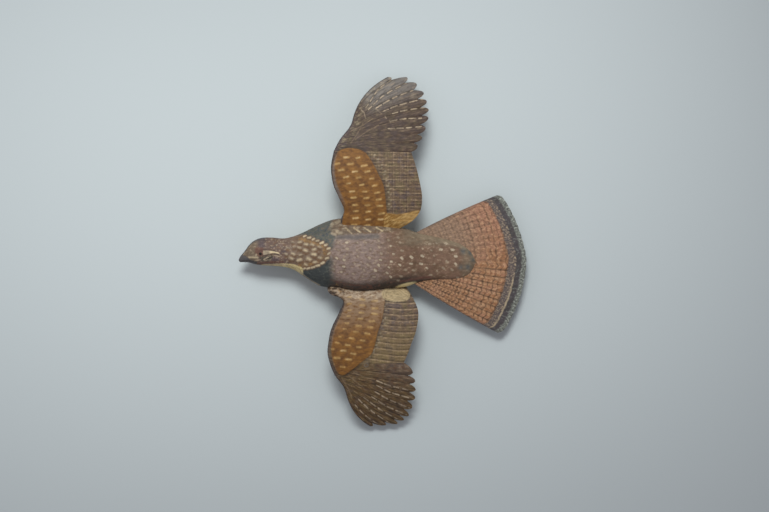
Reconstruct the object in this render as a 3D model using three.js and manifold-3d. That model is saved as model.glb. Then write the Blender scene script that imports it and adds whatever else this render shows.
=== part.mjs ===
// A small ruffed grouse in flight, carved in wood and painted, seen from above: the head is to -X and the fan
// tail to +X. Four pieces: the body with its head and beak, two bowed wings glued against the flanks, and a
// tail fan let into a slot in the rump. The bird lies on a flat spot on its belly. Millimetres, +Z up, origin
// at the middle of the wingspan and of the length, on the surface that the belly rests on.
import * as THREE from "three";
import { mergeVertices } from "three/addons/utils/BufferGeometryUtils.js";
import Module from "manifold-3d";

const wasm = await Module();
wasm.setup();

// Driving dimensions
const HALF_SPAN = 127.2;
const BEAK_TIP = -104.5;
const TAIL_TIP = 104.5;
const GLUE_GAP = 0.3;

// Body, from above and from the side, as heights over the length: [x, y] or [x, z]
const BODY_END = 68.4;
const RIGHT_EDGE = [
  [BEAK_TIP, -4.8], [-99.8, 0.9], [-96.9, 4.9], [-93.3, 8.0], [-88.1, 10.0], [-80.8, 10.3], [-71.4, 9.7],
  [-64.1, 11.4], [-56.8, 14.4], [-45.8, 19.7], [-34.9, 23.5], [-16.6, 24.3], [1.6, 21.7], [16.2, 17.0],
  [25.7, 13.7], [38.1, 11.0], [52.7, 7.4], [62.2, 2.2], [BODY_END, -6.2],
];
const LEFT_EDGE = [
  [BEAK_TIP, -7.6], [-99.8, -7.6], [-96.9, -7.8], [-93.3, -8.9], [-88.1, -9.7], [-80.8, -10.1],
  [-71.4, -11.0], [-64.1, -13.2], [-56.8, -18.0], [-45.8, -24.6], [-34.9, -26.2], [-16.6, -29.0],
  [1.6, -26.8], [16.2, -23.9], [25.7, -21.7], [38.1, -20.3], [52.7, -20.0], [62.2, -17.0], [BODY_END, -9.0],
];
const BACK = [
  [BEAK_TIP, 16.6], [-99.0, 18.6], [-93.0, 22.2], [-86.0, 24.0], [-76.0, 24.0], [-68.0, 24.6],
  [-58.0, 27.2], [-46.0, 31.6], [-35.0, 34.6], [-18.0, 36.2], [0, 35.2], [14.0, 31.4], [26.0, 26.6],
  [38.0, 22.8], [50.0, 19.8], [60.0, 17.4], [BODY_END, 14.9],
];
const BELLY = [
  [BEAK_TIP, 13.8], [-99.0, 12.4], [-93.0, 9.6], [-86.0, 8.0], [-76.0, 8.0], [-68.0, 7.4], [-58.0, 4.8],
  [-46.0, 1.0], [-35.0, -1.5], [-18.0, -2.6], [0, -2.6], [14.0, 0.2], [26.0, 5.0], [38.0, 9.4],
  [50.0, 12.4], [60.0, 13.6], [BODY_END, 13.0],
];
const WIDEST = [
  [BEAK_TIP, 15.2], [-80.0, 16.0], [-58.0, 16.4], [-35.0, 17.2], [0, 17.4], [26.0, 16.8], [60.0, 14.2],
  [BODY_END, 13.6],
];
const BODY_SQUARENESS = 2.15;
const BODY_RINGS = 42;
const BODY_SIDES = 30;

// Wings: x along the body and d outwards from the middle, both in millimetres
const PRIMARIES = 9.5;
const NOTCH = 3.7;
const HAND_COLUMNS = 38;
const ARM_COLUMNS = 16;
const CHORD_ROWS = 8;
const RIGHT_WING = {
  name: "right_wing",
  side: 1,
  lead: [[-31, 7], [-30.2, 22.4], [-27.9, 30], [-31.6, 38.9], [-35.7, 48.7], [-37.3, 61.1], [-35.2, 72.8]],
  trail: [
    [5, 7], [9.7, 15.1], [17.3, 19.5], [22.4, 23.2], [25.7, 27.2], [27.8, 31.9], [28.4, 39.2], [27.6, 45.8],
    [25.6, 55.3], [23.4, 63.3], [20.6, 71.7],
  ],
  bone: [[-35.2, 72.8], [-30.8, 81.2], [-25.0, 88.5], [-22.4, 92.5]],
  outerBend: [-18.4, 115.2],
  tips: [
    [24.3, 71.7], [25.0, 75.7], [28.3, 81.6], [30.8, 88.5], [33.0, 96.5], [33.3, 102.7], [31.9, 109.0],
    [29.7, 115.5], [24.3, 122.5], [17.3, 127.2], [3.5, HALF_SPAN],
  ],
  rootD: 20,
  rootZ: 27.0,
  rise: 0.29,
  tipZ: 9.5,
  tuft: 0,
};
const LEFT_WING = {
  name: "left_wing",
  side: -1,
  lead: [
    [-36, 17], [-39.4, 23.5], [-39.8, 27.9], [-37.4, 31.0], [-32.0, 33.0], [-28.9, 35.4], [-29.2, 38.6],
    [-32.3, 45.4], [-37.4, 56.4], [-39.6, 68.1], [-39.7, 74.6], [-37.8, 81.9],
  ],
  trail: [
    [12, 17], [16.6, 24.6], [20.6, 31.2], [23.5, 36.7], [25.7, 43.3], [25.4, 50.6], [23.5, 59.3],
    [21.0, 65.5], [18.9, 71.7], [15.5, 79.8],
  ],
  bone: [[-37.8, 81.9], [-34.5, 89.6], [-28.7, 97.3], [-26.1, 104.6]],
  outerBend: [-21.7, 119.9],
  tips: [
    [19.2, 80.1], [21.7, 86.7], [23.5, 93.3], [23.8, 99.8], [23.5, 106.0], [21.4, 113.0], [18.8, 119.2],
    [15.1, 122.5], [10.4, 125.4], [0.9, 126.5], [-8.9, HALF_SPAN],
  ],
  rootD: 28,
  rootZ: 19.5,
  rise: 0.4,
  tipZ: 8.5,
  tuft: 3.2,
};
const WING_CAMBER = 2.6;
const WING_THICKNESS = { root: 6.2, wrist: 3.8, tip: 1.7, edge: 1.1 };
const WRIST_D = 74;
const FEATHER_CROWN = 0.45;
const SECONDARY_PITCH = 4.9;
const ARCH_NOSE = 0.07;

// Tail fan: rays from its root, inside the rump, to its outer arc
const TAIL_FEATHERS = 18;
const TAIL_ROOT = { x: 14, right: 8.6, left: -17.4, z: 17.8 };
const TAIL_ARC = [
  [83.4, 41.1], [88.1, 38.5], [95.8, 24.6], [100.2, 13.0], [103.4, 1.3], [TAIL_TIP, -7.5], [103.2, -18.4],
  [99.8, -33.0], [94.4, -46.2], [88.8, -56.2], [84.0, -59.0],
];
const TAIL_BOW = { right: 1.3, left: -1.2 };
const TAIL_DROOP = 0.082;
const TAIL_DOME = 0.0011;
const TAIL_AXIS_Y = -5;
const TAIL_THICKNESS = { root: 3.6, tip: 1.5 };
const TAIL_CROWN = 0.25;
const TAIL_SCALLOP = 0.7;
const TAIL_ROWS = 8;

const PAINT = {
  body: { color: 0x77614f, roughness: 0.52, metalness: 0 },
  right_wing: { color: 0x84684a, roughness: 0.55, metalness: 0 },
  left_wing: { color: 0x80674c, roughness: 0.55, metalness: 0 },
  tail_fan: { color: 0x9c6b4e, roughness: 0.58, metalness: 0 },
};

// A smooth curve y(x) through points whose x grows, as cubic pieces with averaged slopes
function curveThrough(points) {
  const slope = points.map((p, i) => {
    const a = points[Math.max(i - 1, 0)];
    const b = points[Math.min(i + 1, points.length - 1)];
    return (b[1] - a[1]) / (b[0] - a[0]);
  });
  return (x) => {
    let i = 0;
    while (i < points.length - 2 && x > points[i + 1][0]) i += 1;
    const [x0, y0] = points[i];
    const [x1, y1] = points[i + 1];
    const h = x1 - x0;
    const t = Math.min(Math.max((x - x0) / h, 0), 1);
    const s = 1 - t;
    return (
      (1 + 2 * t) * s * s * y0 + t * s * s * h * slope[i] + t * t * (3 - 2 * t) * y1 - t * t * s * h * slope[i + 1]
    );
  };
}

const splineOf = (points) => new THREE.SplineCurve(points.map((p) => new THREE.Vector2(p[0], p[1])));
const lerp = THREE.MathUtils.lerp;

// Corner points of the piecewise-straight tip line, at half-feather steps
function alongTips(tips, u) {
  const at = u * PRIMARIES + 0.5;
  const i = Math.min(Math.max(Math.floor(at), 0), tips.length - 2);
  const low = i === 0 ? 0.5 : i;
  const t = Math.min((at - low) / (i + 1 - low), 1);
  return new THREE.Vector2(lerp(tips[i][0], tips[i + 1][0], t), lerp(tips[i][1], tips[i + 1][1], t));
}

// A closed solid between a top and a bottom surface, each a grid of columns by rows
function slab(columns, rows, top, bottom) {
  const positions = [];
  const indices = [];
  const stride = rows + 1;
  const layer = (columns + 1) * stride;
  for (const surface of [top, bottom]) {
    for (let i = 0; i <= columns; i += 1) {
      for (let j = 0; j <= rows; j += 1) positions.push(...surface(i / columns, j / rows));
    }
  }
  const quad = (a, b, c, d) => indices.push(a, b, c, a, c, d);
  for (let i = 0; i < columns; i += 1) {
    for (let j = 0; j < rows; j += 1) {
      const a = i * stride + j;
      quad(a, a + 1, a + stride + 1, a + stride);
      quad(layer + a, layer + a + stride, layer + a + stride + 1, layer + a + 1);
    }
    const near = i * stride;
    const far = near + rows;
    quad(near, near + stride, layer + near + stride, layer + near);
    quad(far, layer + far, layer + far + stride, far + stride);
  }
  for (let j = 0; j < rows; j += 1) {
    const last = columns * stride + j;
    quad(j, layer + j, layer + j + 1, j + 1);
    quad(last, last + 1, layer + last + 1, layer + last);
  }
  return solidOf(positions, indices);
}

function solidOf(positions, indices) {
  const geometry = new THREE.BufferGeometry();
  geometry.setAttribute("position", new THREE.Float32BufferAttribute(positions, 3));
  geometry.setIndex(indices);
  const merged = mergeVertices(geometry, 1e-4);
  const triVerts = new Uint32Array(merged.index.array);
  const vertProperties = merged.attributes.position.array;
  const solid = new wasm.Manifold(new wasm.Mesh({ numProp: 3, vertProperties, triVerts }));
  if (solid.volume() > 0) return solid;
  for (let i = 0; i < triVerts.length; i += 3) {
    [triVerts[i + 1], triVerts[i + 2]] = [triVerts[i + 2], triVerts[i + 1]];
  }
  return new wasm.Manifold(new wasm.Mesh({ numProp: 3, vertProperties, triVerts }));
}

// The largest connected part of a solid, as a mesh
function meshOf(name, solid) {
  const kept = solid.decompose().reduce((a, b) => (a.volume() > b.volume() ? a : b));
  const { vertProperties, triVerts } = kept.getMesh();
  const geometry = new THREE.BufferGeometry();
  geometry.setAttribute("position", new THREE.Float32BufferAttribute(vertProperties, 3));
  geometry.setIndex([...triVerts]);
  geometry.computeVertexNormals();
  const mesh = new THREE.Mesh(geometry, new THREE.MeshStandardMaterial(PAINT[name]));
  mesh.name = name;
  return mesh;
}

// The body: rings of a squarish oval whose four radii follow the plan and the side view
function bodySolid(grow) {
  const [right, left, back, belly, widest] = [RIGHT_EDGE, LEFT_EDGE, BACK, BELLY, WIDEST].map(curveThrough);
  const positions = [];
  const indices = [];
  for (let i = 0; i <= BODY_RINGS; i += 1) {
    const share = i / BODY_RINGS;
    const eased = lerp(share, 0.5 - 0.5 * Math.cos(Math.PI * share), 0.35);
    const x = lerp(BEAK_TIP, BODY_END, eased);
    const middle = (right(x) + left(x)) / 2;
    const half = (right(x) - left(x)) / 2 + grow;
    for (let j = 0; j < BODY_SIDES; j += 1) {
      const angle = (2 * Math.PI * j) / BODY_SIDES;
      const round = (v) => Math.sign(v) * Math.abs(v) ** (2 / BODY_SQUARENESS);
      const sine = round(Math.sin(angle));
      const reach = (sine > 0 ? back(x) - widest(x) : widest(x) - belly(x)) + grow;
      positions.push(x, middle + half * round(Math.cos(angle)), widest(x) + reach * sine);
    }
  }
  for (let i = 0; i < BODY_RINGS; i += 1) {
    for (let j = 0; j < BODY_SIDES; j += 1) {
      const a = i * BODY_SIDES + j;
      const b = i * BODY_SIDES + ((j + 1) % BODY_SIDES);
      indices.push(a, b, b + BODY_SIDES, a, b + BODY_SIDES, a + BODY_SIDES);
    }
  }
  for (const [ring, x, flip] of [[0, BEAK_TIP - grow, false], [BODY_RINGS, BODY_END + grow, true]]) {
    const middle = (right(x) + left(x)) / 2;
    const hub = positions.length / 3;
    positions.push(x, middle, widest(x));
    for (let j = 0; j < BODY_SIDES; j += 1) {
      const a = ring * BODY_SIDES + j;
      const b = ring * BODY_SIDES + ((j + 1) % BODY_SIDES);
      indices.push(...(flip ? [hub, a, b] : [hub, b, a]));
    }
  }
  return solidOf(positions, indices);
}

// Where a wing's ray meets the chord share t: straight rays along the arm, bent ones fanning over the hand
function wingPoint(wing, curves, share, t) {
  const armShare = ARM_COLUMNS / (ARM_COLUMNS + HAND_COLUMNS);
  if (share < armShare) {
    const s = share / armShare;
    return curves.lead.getPoint(s).lerp(curves.trail.getPoint(s), t);
  }
  const u = (share - armShare) / (1 - armShare);
  const start = curves.bone.getPoint(u);
  const end = alongTips(wing.tips, u);
  const straight = curves.bone.getPoint(0).lerp(alongTips(wing.tips, 0), 0.45);
  const bend = straight.lerp(new THREE.Vector2(...wing.outerBend), u);
  const feather = (u * PRIMARIES) % 1;
  const notch = u > 0.999 ? 0 : NOTCH * Math.abs(2 * feather - 1) ** 2.4;
  const reach = t * (1 - notch / start.distanceTo(end));
  return new THREE.QuadraticBezierCurve(start, bend, end).getPoint(reach);
}

// Height of a wing's middle surface: it rises from the root, bows over and drops to the tip, and is cambered
function wingHeight(wing, d, t) {
  const out = d - wing.rootD;
  const span = HALF_SPAN - wing.rootD;
  const bow = (wing.rootZ + wing.rise * span - wing.tipZ) / span ** 2;
  const camber = WING_CAMBER * (2 * t - 0.9) ** 2;
  return wing.rootZ + wing.rise * out - bow * out ** 2 - camber;
}

function wingThickness(wing, d, t) {
  const { root, wrist, tip, edge } = WING_THICKNESS;
  const thick =
    d < WRIST_D
      ? lerp(root, wrist, Math.max(d - wing.rootD, 0) / (WRIST_D - wing.rootD))
      : lerp(wrist, tip, (d - WRIST_D) / (HALF_SPAN - WRIST_D));
  return edge + (thick - edge) * (1 - t) ** 0.8 * (1 - 0.75 * Math.exp(-t / ARCH_NOSE));
}

// Low crowns along the feathers, the flight feathers' grooves lying between them
function wingCrown(share, d, t) {
  const armShare = ARM_COLUMNS / (ARM_COLUMNS + HAND_COLUMNS);
  if (share < armShare) return t > 0.5 ? 0.4 * FEATHER_CROWN * Math.sin((Math.PI * d) / SECONDARY_PITCH) ** 2 : 0;
  const feather = (((share - armShare) / (1 - armShare)) * PRIMARIES) % 1;
  return FEATHER_CROWN * (1 - (2 * feather - 1) ** 2) * Math.min(1, t * 2);
}

function wingSolid(wing) {
  const curves = { lead: splineOf(wing.lead), trail: splineOf(wing.trail), bone: splineOf(wing.bone) };
  const face = (up) => (share, t) => {
    const p = wingPoint(wing, curves, share, t);
    const half = wingThickness(wing, p.y, t) / 2;
    const near = Math.exp(-(((p.x + 35) / 7) ** 2) - ((p.y - 29) / 5) ** 2);
    const lift = up ? half + wingCrown(share, p.y, t) + wing.tuft * near : -half;
    return [p.x, wing.side * p.y, wingHeight(wing, p.y, t) + lift];
  };
  return slab(ARM_COLUMNS + HAND_COLUMNS, CHORD_ROWS, face(true), face(false));
}

// The tail fan, grown all round by a gap when it is used to cut its own slot
function tailSolid(grow) {
  const arc = splineOf(TAIL_ARC);
  const face = (up) => (across, t) => {
    const f = across + (across - 0.5) * grow * 0.04;
    const start = new THREE.Vector2(TAIL_ROOT.x - grow, lerp(TAIL_ROOT.right, TAIL_ROOT.left, f));
    start.y += (0.5 - across) * 2 * grow;
    const end = arc.getPointAt(across);
    const feather = (across * TAIL_FEATHERS) % 1;
    const scallop = across > 0.999 ? 1 : Math.abs(2 * feather - 1) ** 2;
    end.x += grow - TAIL_SCALLOP * scallop;
    end.y += (0.5 - across) * 2 * grow;
    const p = start.lerp(end, t);
    p.y += lerp(TAIL_BOW.right, TAIL_BOW.left, across) * 4 * t * (1 - t);
    const droop = TAIL_DROOP * (p.x - TAIL_ROOT.x) + TAIL_DOME * (p.y - TAIL_AXIS_Y) ** 2 * t;
    const half = lerp(TAIL_THICKNESS.root, TAIL_THICKNESS.tip, t) / 2 + grow;
    const crown = up ? TAIL_CROWN * (1 - (2 * feather - 1) ** 2) * Math.min(1, t * 2) : 0;
    return [p.x, p.y, TAIL_ROOT.z - droop + (up ? half + crown : -half)];
  };
  return slab(TAIL_FEATHERS * 2, TAIL_ROWS, face(true), face(false));
}

function boxSolid(width, depth, height, x, y, z) {
  const box = new THREE.BoxGeometry(width, depth, height).translate(x, y, z);
  box.deleteAttribute("normal");
  box.deleteAttribute("uv");
  const merged = mergeVertices(box);
  return solidOf([...merged.attributes.position.array], [...merged.index.array]);
}

const table = boxSolid(300, 300, 40, 0, 0, -20);
const clearOfBody = bodySolid(GLUE_GAP);
const grouse = new THREE.Group();
grouse.add(meshOf("body", bodySolid(0).subtract(table).subtract(tailSolid(GLUE_GAP))));
grouse.add(meshOf("tail_fan", tailSolid(0)));
for (const wing of [RIGHT_WING, LEFT_WING]) {
  grouse.add(meshOf(wing.name, wingSolid(wing).subtract(clearOfBody)));
}

export default grouse;
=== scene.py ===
"""A small ruffed grouse in flight, carved in basswood and painted by hand, lying on a painted board.

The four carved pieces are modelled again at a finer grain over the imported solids, with the same outlines
and heights: the body with its head, two bowed wings and the tail fan. Lengths inside the shaping functions
are in millimetres, and become metres when a piece is finished.
"""

import math

import bmesh
import bpy
import numpy as np
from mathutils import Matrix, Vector


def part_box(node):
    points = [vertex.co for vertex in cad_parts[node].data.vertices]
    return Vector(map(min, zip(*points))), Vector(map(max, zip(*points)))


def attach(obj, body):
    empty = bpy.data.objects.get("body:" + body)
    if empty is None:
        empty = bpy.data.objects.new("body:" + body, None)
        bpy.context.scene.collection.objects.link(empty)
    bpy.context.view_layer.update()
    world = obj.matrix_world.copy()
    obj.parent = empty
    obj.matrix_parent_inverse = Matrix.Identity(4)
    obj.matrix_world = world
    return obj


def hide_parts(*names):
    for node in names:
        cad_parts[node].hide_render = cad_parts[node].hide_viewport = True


bl_info = {
    "name": "Painted Grouse Carving",
    "version": (1, 0, 0),
    "blender": (4, 5, 0),
    "location": "View3D > Sidebar > Grouse",
    "description": "Carves and paints a small flying grouse around its solids",
    "category": "Object",
}

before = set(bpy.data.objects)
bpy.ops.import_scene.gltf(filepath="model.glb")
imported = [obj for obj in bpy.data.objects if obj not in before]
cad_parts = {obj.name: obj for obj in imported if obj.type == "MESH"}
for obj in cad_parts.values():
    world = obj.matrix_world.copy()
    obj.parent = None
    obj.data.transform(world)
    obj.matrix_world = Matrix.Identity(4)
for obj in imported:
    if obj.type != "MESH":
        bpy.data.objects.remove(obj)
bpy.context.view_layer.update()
MM = 0.001
HALF_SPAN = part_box("right_wing")[1].y / MM
BEAK_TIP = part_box("body")[0].x / MM
TAIL_TIP = 104.5
SHARP_ANGLE = 50
OUTLINE_STEPS = 12
PHOTO_HEIGHT = 2400

# Stage, in metres and degrees: the light is like a window high beyond the right wing
BOARD_REACH = 2.5
WINDOW_SIZE = (0.75, 0.42)
WINDOW_SPREAD = 35.2
WINDOW_PLACE = (-0.148, 0.65, 1.024)
WINDOW_AIM = (-0.085, 0.077, 0)
WINDOW_TINT = (0.96, 1.0, 0.96)
ROOM_TINT = "#fcfbff"
CAMERA_OVER = (0.0013, -0.0031)

# Body: its edges from above, (x, y), and its back, belly and widest line from the side, (x, z)
BODY_END = 68.4
RIGHT_EDGE = [
    (BEAK_TIP, -4.8), (-99.8, 0.9), (-96.9, 4.9), (-93.3, 8.0), (-88.1, 10.0), (-80.8, 10.3), (-71.4, 9.7),
    (-64.1, 11.4), (-56.8, 14.4), (-45.8, 19.7), (-34.9, 23.5), (-16.6, 24.3), (1.6, 21.7), (16.2, 17.0),
    (25.7, 13.7), (38.1, 11.0), (52.7, 7.4), (62.2, 2.2), (BODY_END, -6.2),
]
LEFT_EDGE = [
    (BEAK_TIP, -7.6), (-99.8, -7.6), (-96.9, -7.8), (-93.3, -8.9), (-88.1, -9.7), (-80.8, -10.1),
    (-71.4, -11.0), (-64.1, -13.2), (-56.8, -18.0), (-45.8, -24.6), (-34.9, -26.2), (-16.6, -29.0),
    (1.6, -26.8), (16.2, -23.9), (25.7, -21.7), (38.1, -20.3), (52.7, -20.0), (62.2, -17.0),
    (BODY_END, -9.0),
]
BACK = [
    (BEAK_TIP, 16.6), (-99.0, 18.6), (-93.0, 22.2), (-86.0, 24.0), (-76.0, 24.0), (-68.0, 24.6),
    (-58.0, 27.2), (-46.0, 31.6), (-35.0, 34.6), (-18.0, 36.2), (0, 35.2), (14.0, 31.4), (26.0, 26.6),
    (38.0, 22.8), (50.0, 19.8), (60.0, 17.4), (BODY_END, 14.9),
]
BELLY = [
    (BEAK_TIP, 13.8), (-99.0, 12.4), (-93.0, 9.6), (-86.0, 8.0), (-76.0, 8.0), (-68.0, 7.4), (-58.0, 4.8),
    (-46.0, 1.0), (-35.0, -1.5), (-18.0, -2.6), (0, -2.6), (14.0, 0.2), (26.0, 5.0), (38.0, 9.4),
    (50.0, 12.4), (60.0, 13.6), (BODY_END, 13.0),
]
WIDEST = [
    (BEAK_TIP, 15.2), (-80.0, 16.0), (-58.0, 16.4), (-35.0, 17.2), (0, 17.4), (26.0, 16.8), (60.0, 14.2),
    (BODY_END, 13.6),
]
BODY_SQUARENESS = 2.15
BODY_RINGS = 390
BODY_SIDES = 240
HEAD_SHARE = 0.34
HEAD_LENGTH = 44.0
BEAK_CAP = 0.012
RUMP_CAP = 0.02
SLIVER = {"x": 17, "length": 8.5, "width": 2.0, "pull": 1.7}

# Wings: x along the body and d outwards from the middle
PRIMARIES = 9.5
NOTCH = 3.7
HAND_COLUMNS = 209
ARM_COLUMNS = 150
CHORD_ROWS = 125
RIGHT_WING = {
    "name": "right_wing",
    "side": 1,
    "lead": [
        (-31, 7), (-30.2, 22.4), (-27.9, 30), (-31.6, 38.9), (-35.7, 48.7), (-37.3, 61.1), (-35.2, 72.8),
    ],
    "trail": [
        (5, 7), (9.7, 15.1), (17.3, 19.5), (22.4, 23.2), (25.7, 27.2), (27.8, 31.9), (28.4, 39.2),
        (27.6, 45.8), (25.6, 55.3), (23.4, 63.3), (20.6, 71.7),
    ],
    "bone": [(-35.2, 72.8), (-30.8, 81.2), (-25.0, 88.5), (-22.4, 92.5)],
    "outer_bend": (-18.4, 115.2),
    "tips": [
        (24.3, 71.7), (25.0, 75.7), (28.3, 81.6), (30.8, 88.5), (33.0, 96.5), (33.3, 102.7), (31.9, 109.0),
        (29.7, 115.5), (24.3, 122.5), (17.3, 127.2), (3.5, HALF_SPAN),
    ],
    "root": (20, 27.0),
    "rise": 0.29,
    "tip_z": 9.5,
    "tuft": 0,
    "coverts": [
        (-27.6, 75.4), (-20.3, 75.4), (-13.5, 73.0), (-8.6, 67.0), (-3.5, 57.5), (0.6, 48.5), (2.0, 40.0),
        (3.0, 30.0), (4.0, 12.0), (-12.0, 8.0), (-34.0, 8.0), (-30.0, 20.0), (-29.0, 30.0), (-32.6, 40.0),
        (-36.0, 51.0), (-36.6, 62.0), (-33.4, 72.0),
    ],
    "dash_line": [(18, -11.4), (28, -10.2), (38.8, -12.1), (49.5, -15.3), (59, -20.6), (70, -27.9)],
    "dash_rows": (18.8, 5.0, 11),
    "dash_slant": -0.6,
    "dash_tilt": 7,
    "tertials": [
        (1.8, 27.0), (11.1, 27.2), (18.4, 28.6), (26.5, 30.2), (27.4, 26.1), (21.4, 18.8), (14.0, 12.0),
        (2.0, 12.0),
    ],
    "beads": [(-6.6, 70.5), (-1.6, 63.6), (2.6, 55.0), (4.6, 47.0), (5.2, 39.0), (5.4, 31.0)],
    "row": (4.9, 0.02, 0.3, 0.0),
    "bar": (5.2, 7.3),
    "quill_rows": [
        [(0.62, 3.2), (0.78, 2.93), (0.95, 2.8)],
        [(0.64, 4.12), (0.80, 4.02), (0.93, 3.68)],
        [(0.68, 5.12), (0.82, 5.08), (0.96, 4.88)],
        [(0.57, 5.8), (0.75, 5.95), (0.97, 5.85)],
        [(0.53, 6.7), (0.73, 6.97), (0.93, 7.0)],
        [(0.43, 7.1), (0.65, 7.72), (0.93, 7.9)],
        [(0.40, 7.6), (0.65, 8.72), (0.93, 9.0)],
    ],
    "shafts": [
        [(-14.3, 93.7), (-18.5, 86.0), (-23.2, 79.2)], [(-7.6, 97.0), (-15.5, 91.5), (-23.2, 88.1)],
        [(-3.0, 92.4), (-12.0, 87.4), (-20.0, 82.0)],
    ],
    "specks": [
        [(-15.6, 103.6), (-13.6, 101.4), (-12.5, 97.4)], [(-5.2, 104.2), (-3.2, 103.4), (-1.0, 100.6)],
        [(1.6, 99.0), (2.6, 97.2)], [(5.0, 95.6), (5.8, 94.0)], [(5.2, 90.0), (6.2, 88.8)],
    ],
}
LEFT_WING = {
    "name": "left_wing",
    "side": -1,
    "lead": [
        (-36, 17), (-39.4, 23.5), (-39.8, 27.9), (-37.4, 31.0), (-32.0, 33.0), (-28.9, 35.4), (-29.2, 38.6),
        (-32.3, 45.4), (-37.4, 56.4), (-39.6, 68.1), (-39.7, 74.6), (-37.8, 81.9),
    ],
    "trail": [
        (12, 17), (16.6, 24.6), (20.6, 31.2), (23.5, 36.7), (25.7, 43.3), (25.4, 50.6), (23.5, 59.3),
        (21.0, 65.5), (18.9, 71.7), (15.5, 79.8),
    ],
    "bone": [(-37.8, 81.9), (-34.5, 89.6), (-28.7, 97.3), (-26.1, 104.6)],
    "outer_bend": (-21.7, 119.9),
    "tips": [
        (19.2, 80.1), (21.7, 86.7), (23.5, 93.3), (23.8, 99.8), (23.5, 106.0), (21.4, 113.0), (18.8, 119.2),
        (15.1, 122.5), (10.4, 125.4), (0.9, 126.5), (-8.9, HALF_SPAN),
    ],
    "root": (28, 19.5),
    "rise": 0.4,
    "tip_z": 8.5,
    "tuft": 3.2,
    "coverts": [
        (1.6, 35.2), (-0.5, 49.8), (-3.6, 59.0), (-5.7, 68.1), (-8.4, 75.0), (-14.4, 79.8), (-22.4, 86.3),
        (-28.8, 90.2), (-33.5, 87.6), (-37.0, 78.0), (-37.6, 66.0), (-34.9, 55.0), (-29.6, 44.0),
        (-28.4, 36.0), (-36.0, 30.0), (-37.0, 20.0), (0.9, 22.0),
    ],
    "dash_line": [(34, -14.6), (44.5, -15.1), (54.1, -17.9), (63.9, -22.9), (72.7, -29.0), (82, -38.0)],
    "dash_rows": (34.6, 4.75, 11),
    "dash_slant": 1.6,
    "dash_tilt": 3,
    "tertials": [
        (-0.9, 31.2), (1.0, 27.2), (6.0, 25.0), (12.0, 25.6), (17.0, 27.8), (19.9, 31.2), (18.8, 34.8),
        (14.0, 36.3), (7.5, 36.4), (1.6, 34.8),
    ],
    "beads": [(2.2, 38.0), (1.2, 48.0), (0.0, 56.0), (-2.6, 65.0), (-6.0, 72.0), (-11.4, 77.6)],
    "row": (4.3, -0.13, -0.4, 0.007),
    "bar": (4.7, 3.0),
    "quill_rows": [
        [(0.57, 2.3), (0.72, 2.68), (0.93, 2.76)],
        [(0.57, 3.0), (0.74, 3.57), (0.95, 3.66)],
        [(0.58, 4.1), (0.74, 4.5), (0.97, 4.66)],
        [(0.53, 4.95), (0.74, 5.42), (0.97, 5.5)],
        [(0.45, 5.75), (0.70, 6.4), (0.93, 6.72)],
        [(0.38, 6.7), (0.62, 7.35), (0.93, 7.8)],
        [(0.34, 8.2), (0.60, 8.5), (0.95, 8.72)],
    ],
    "shafts": [
        [(-30.0, 92.0), (-26.0, 98.6), (-22.4, 106.0)], [(-25.0, 90.4), (-19.0, 95.4), (-13.6, 99.4)],
        [(-21.0, 88.4), (-13.0, 91.4), (-6.0, 93.2)],
    ],
    "specks": [[(-13.6, 82.9), (-12.4, 80.9), (-10.9, 81.4), (-10.7, 83.2), (-12.2, 84.2), (-13.6, 82.9)]],
}
WRIST_D = 74
BEADS = 20
COVERT_COLUMN = 9.2
QUILL_PITCH = 5.5
QUILL_DASHES = 37
QUILL_DASH = {"half_length": 1.6, "half_width": 0.46}
FEATHER_LAY = 6.2
LEAD_X = -36
KNOB = {"x": -35, "d": 29, "length": 7, "width": 5}
WING_CAMBER = 2.6
WING_THICKNESS = {"root": 6.2, "wrist": 3.8, "tip": 1.7, "edge": 1.1}
NOSE_SHARE = 0.07

# Tail fan: rays from its root, inside the rump, to its outer arc
TAIL_FEATHERS = 18
TAIL_ROOT = {"x": 14, "right": 8.6, "left": -17.4, "z": 17.8}
TAIL_ARC = [
    (83.4, 41.1), (88.1, 38.5), (95.8, 24.6), (100.2, 13.0), (103.4, 1.3), (TAIL_TIP, -7.5), (103.2, -18.4),
    (99.8, -33.0), (94.4, -46.2), (88.8, -56.2), (84.0, -59.0),
]
TAIL_BOW = {"right": 1.3, "left": -1.2}
TAIL_DROOP = 0.082
TAIL_DOME = 0.0011
TAIL_AXIS_Y = -5
TAIL_THICKNESS = {"root": 3.6, "tip": 1.5}
TAIL_SCALLOP = 0.35
TAIL_BARS = [7.0, 14.2, 21.4, 28.9, 36.9, 43.0, 48.3, 53.4, 58.2, 63.0, 68.0, 73.0, 78.0, 83.0, 88.0, 93.0]
TAIL_ROOT_WIDTH = 26.0
TAIL_FEATHER_LAY = 5.6
TAIL_COLUMNS = 270
TAIL_ROWS = 170

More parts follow.
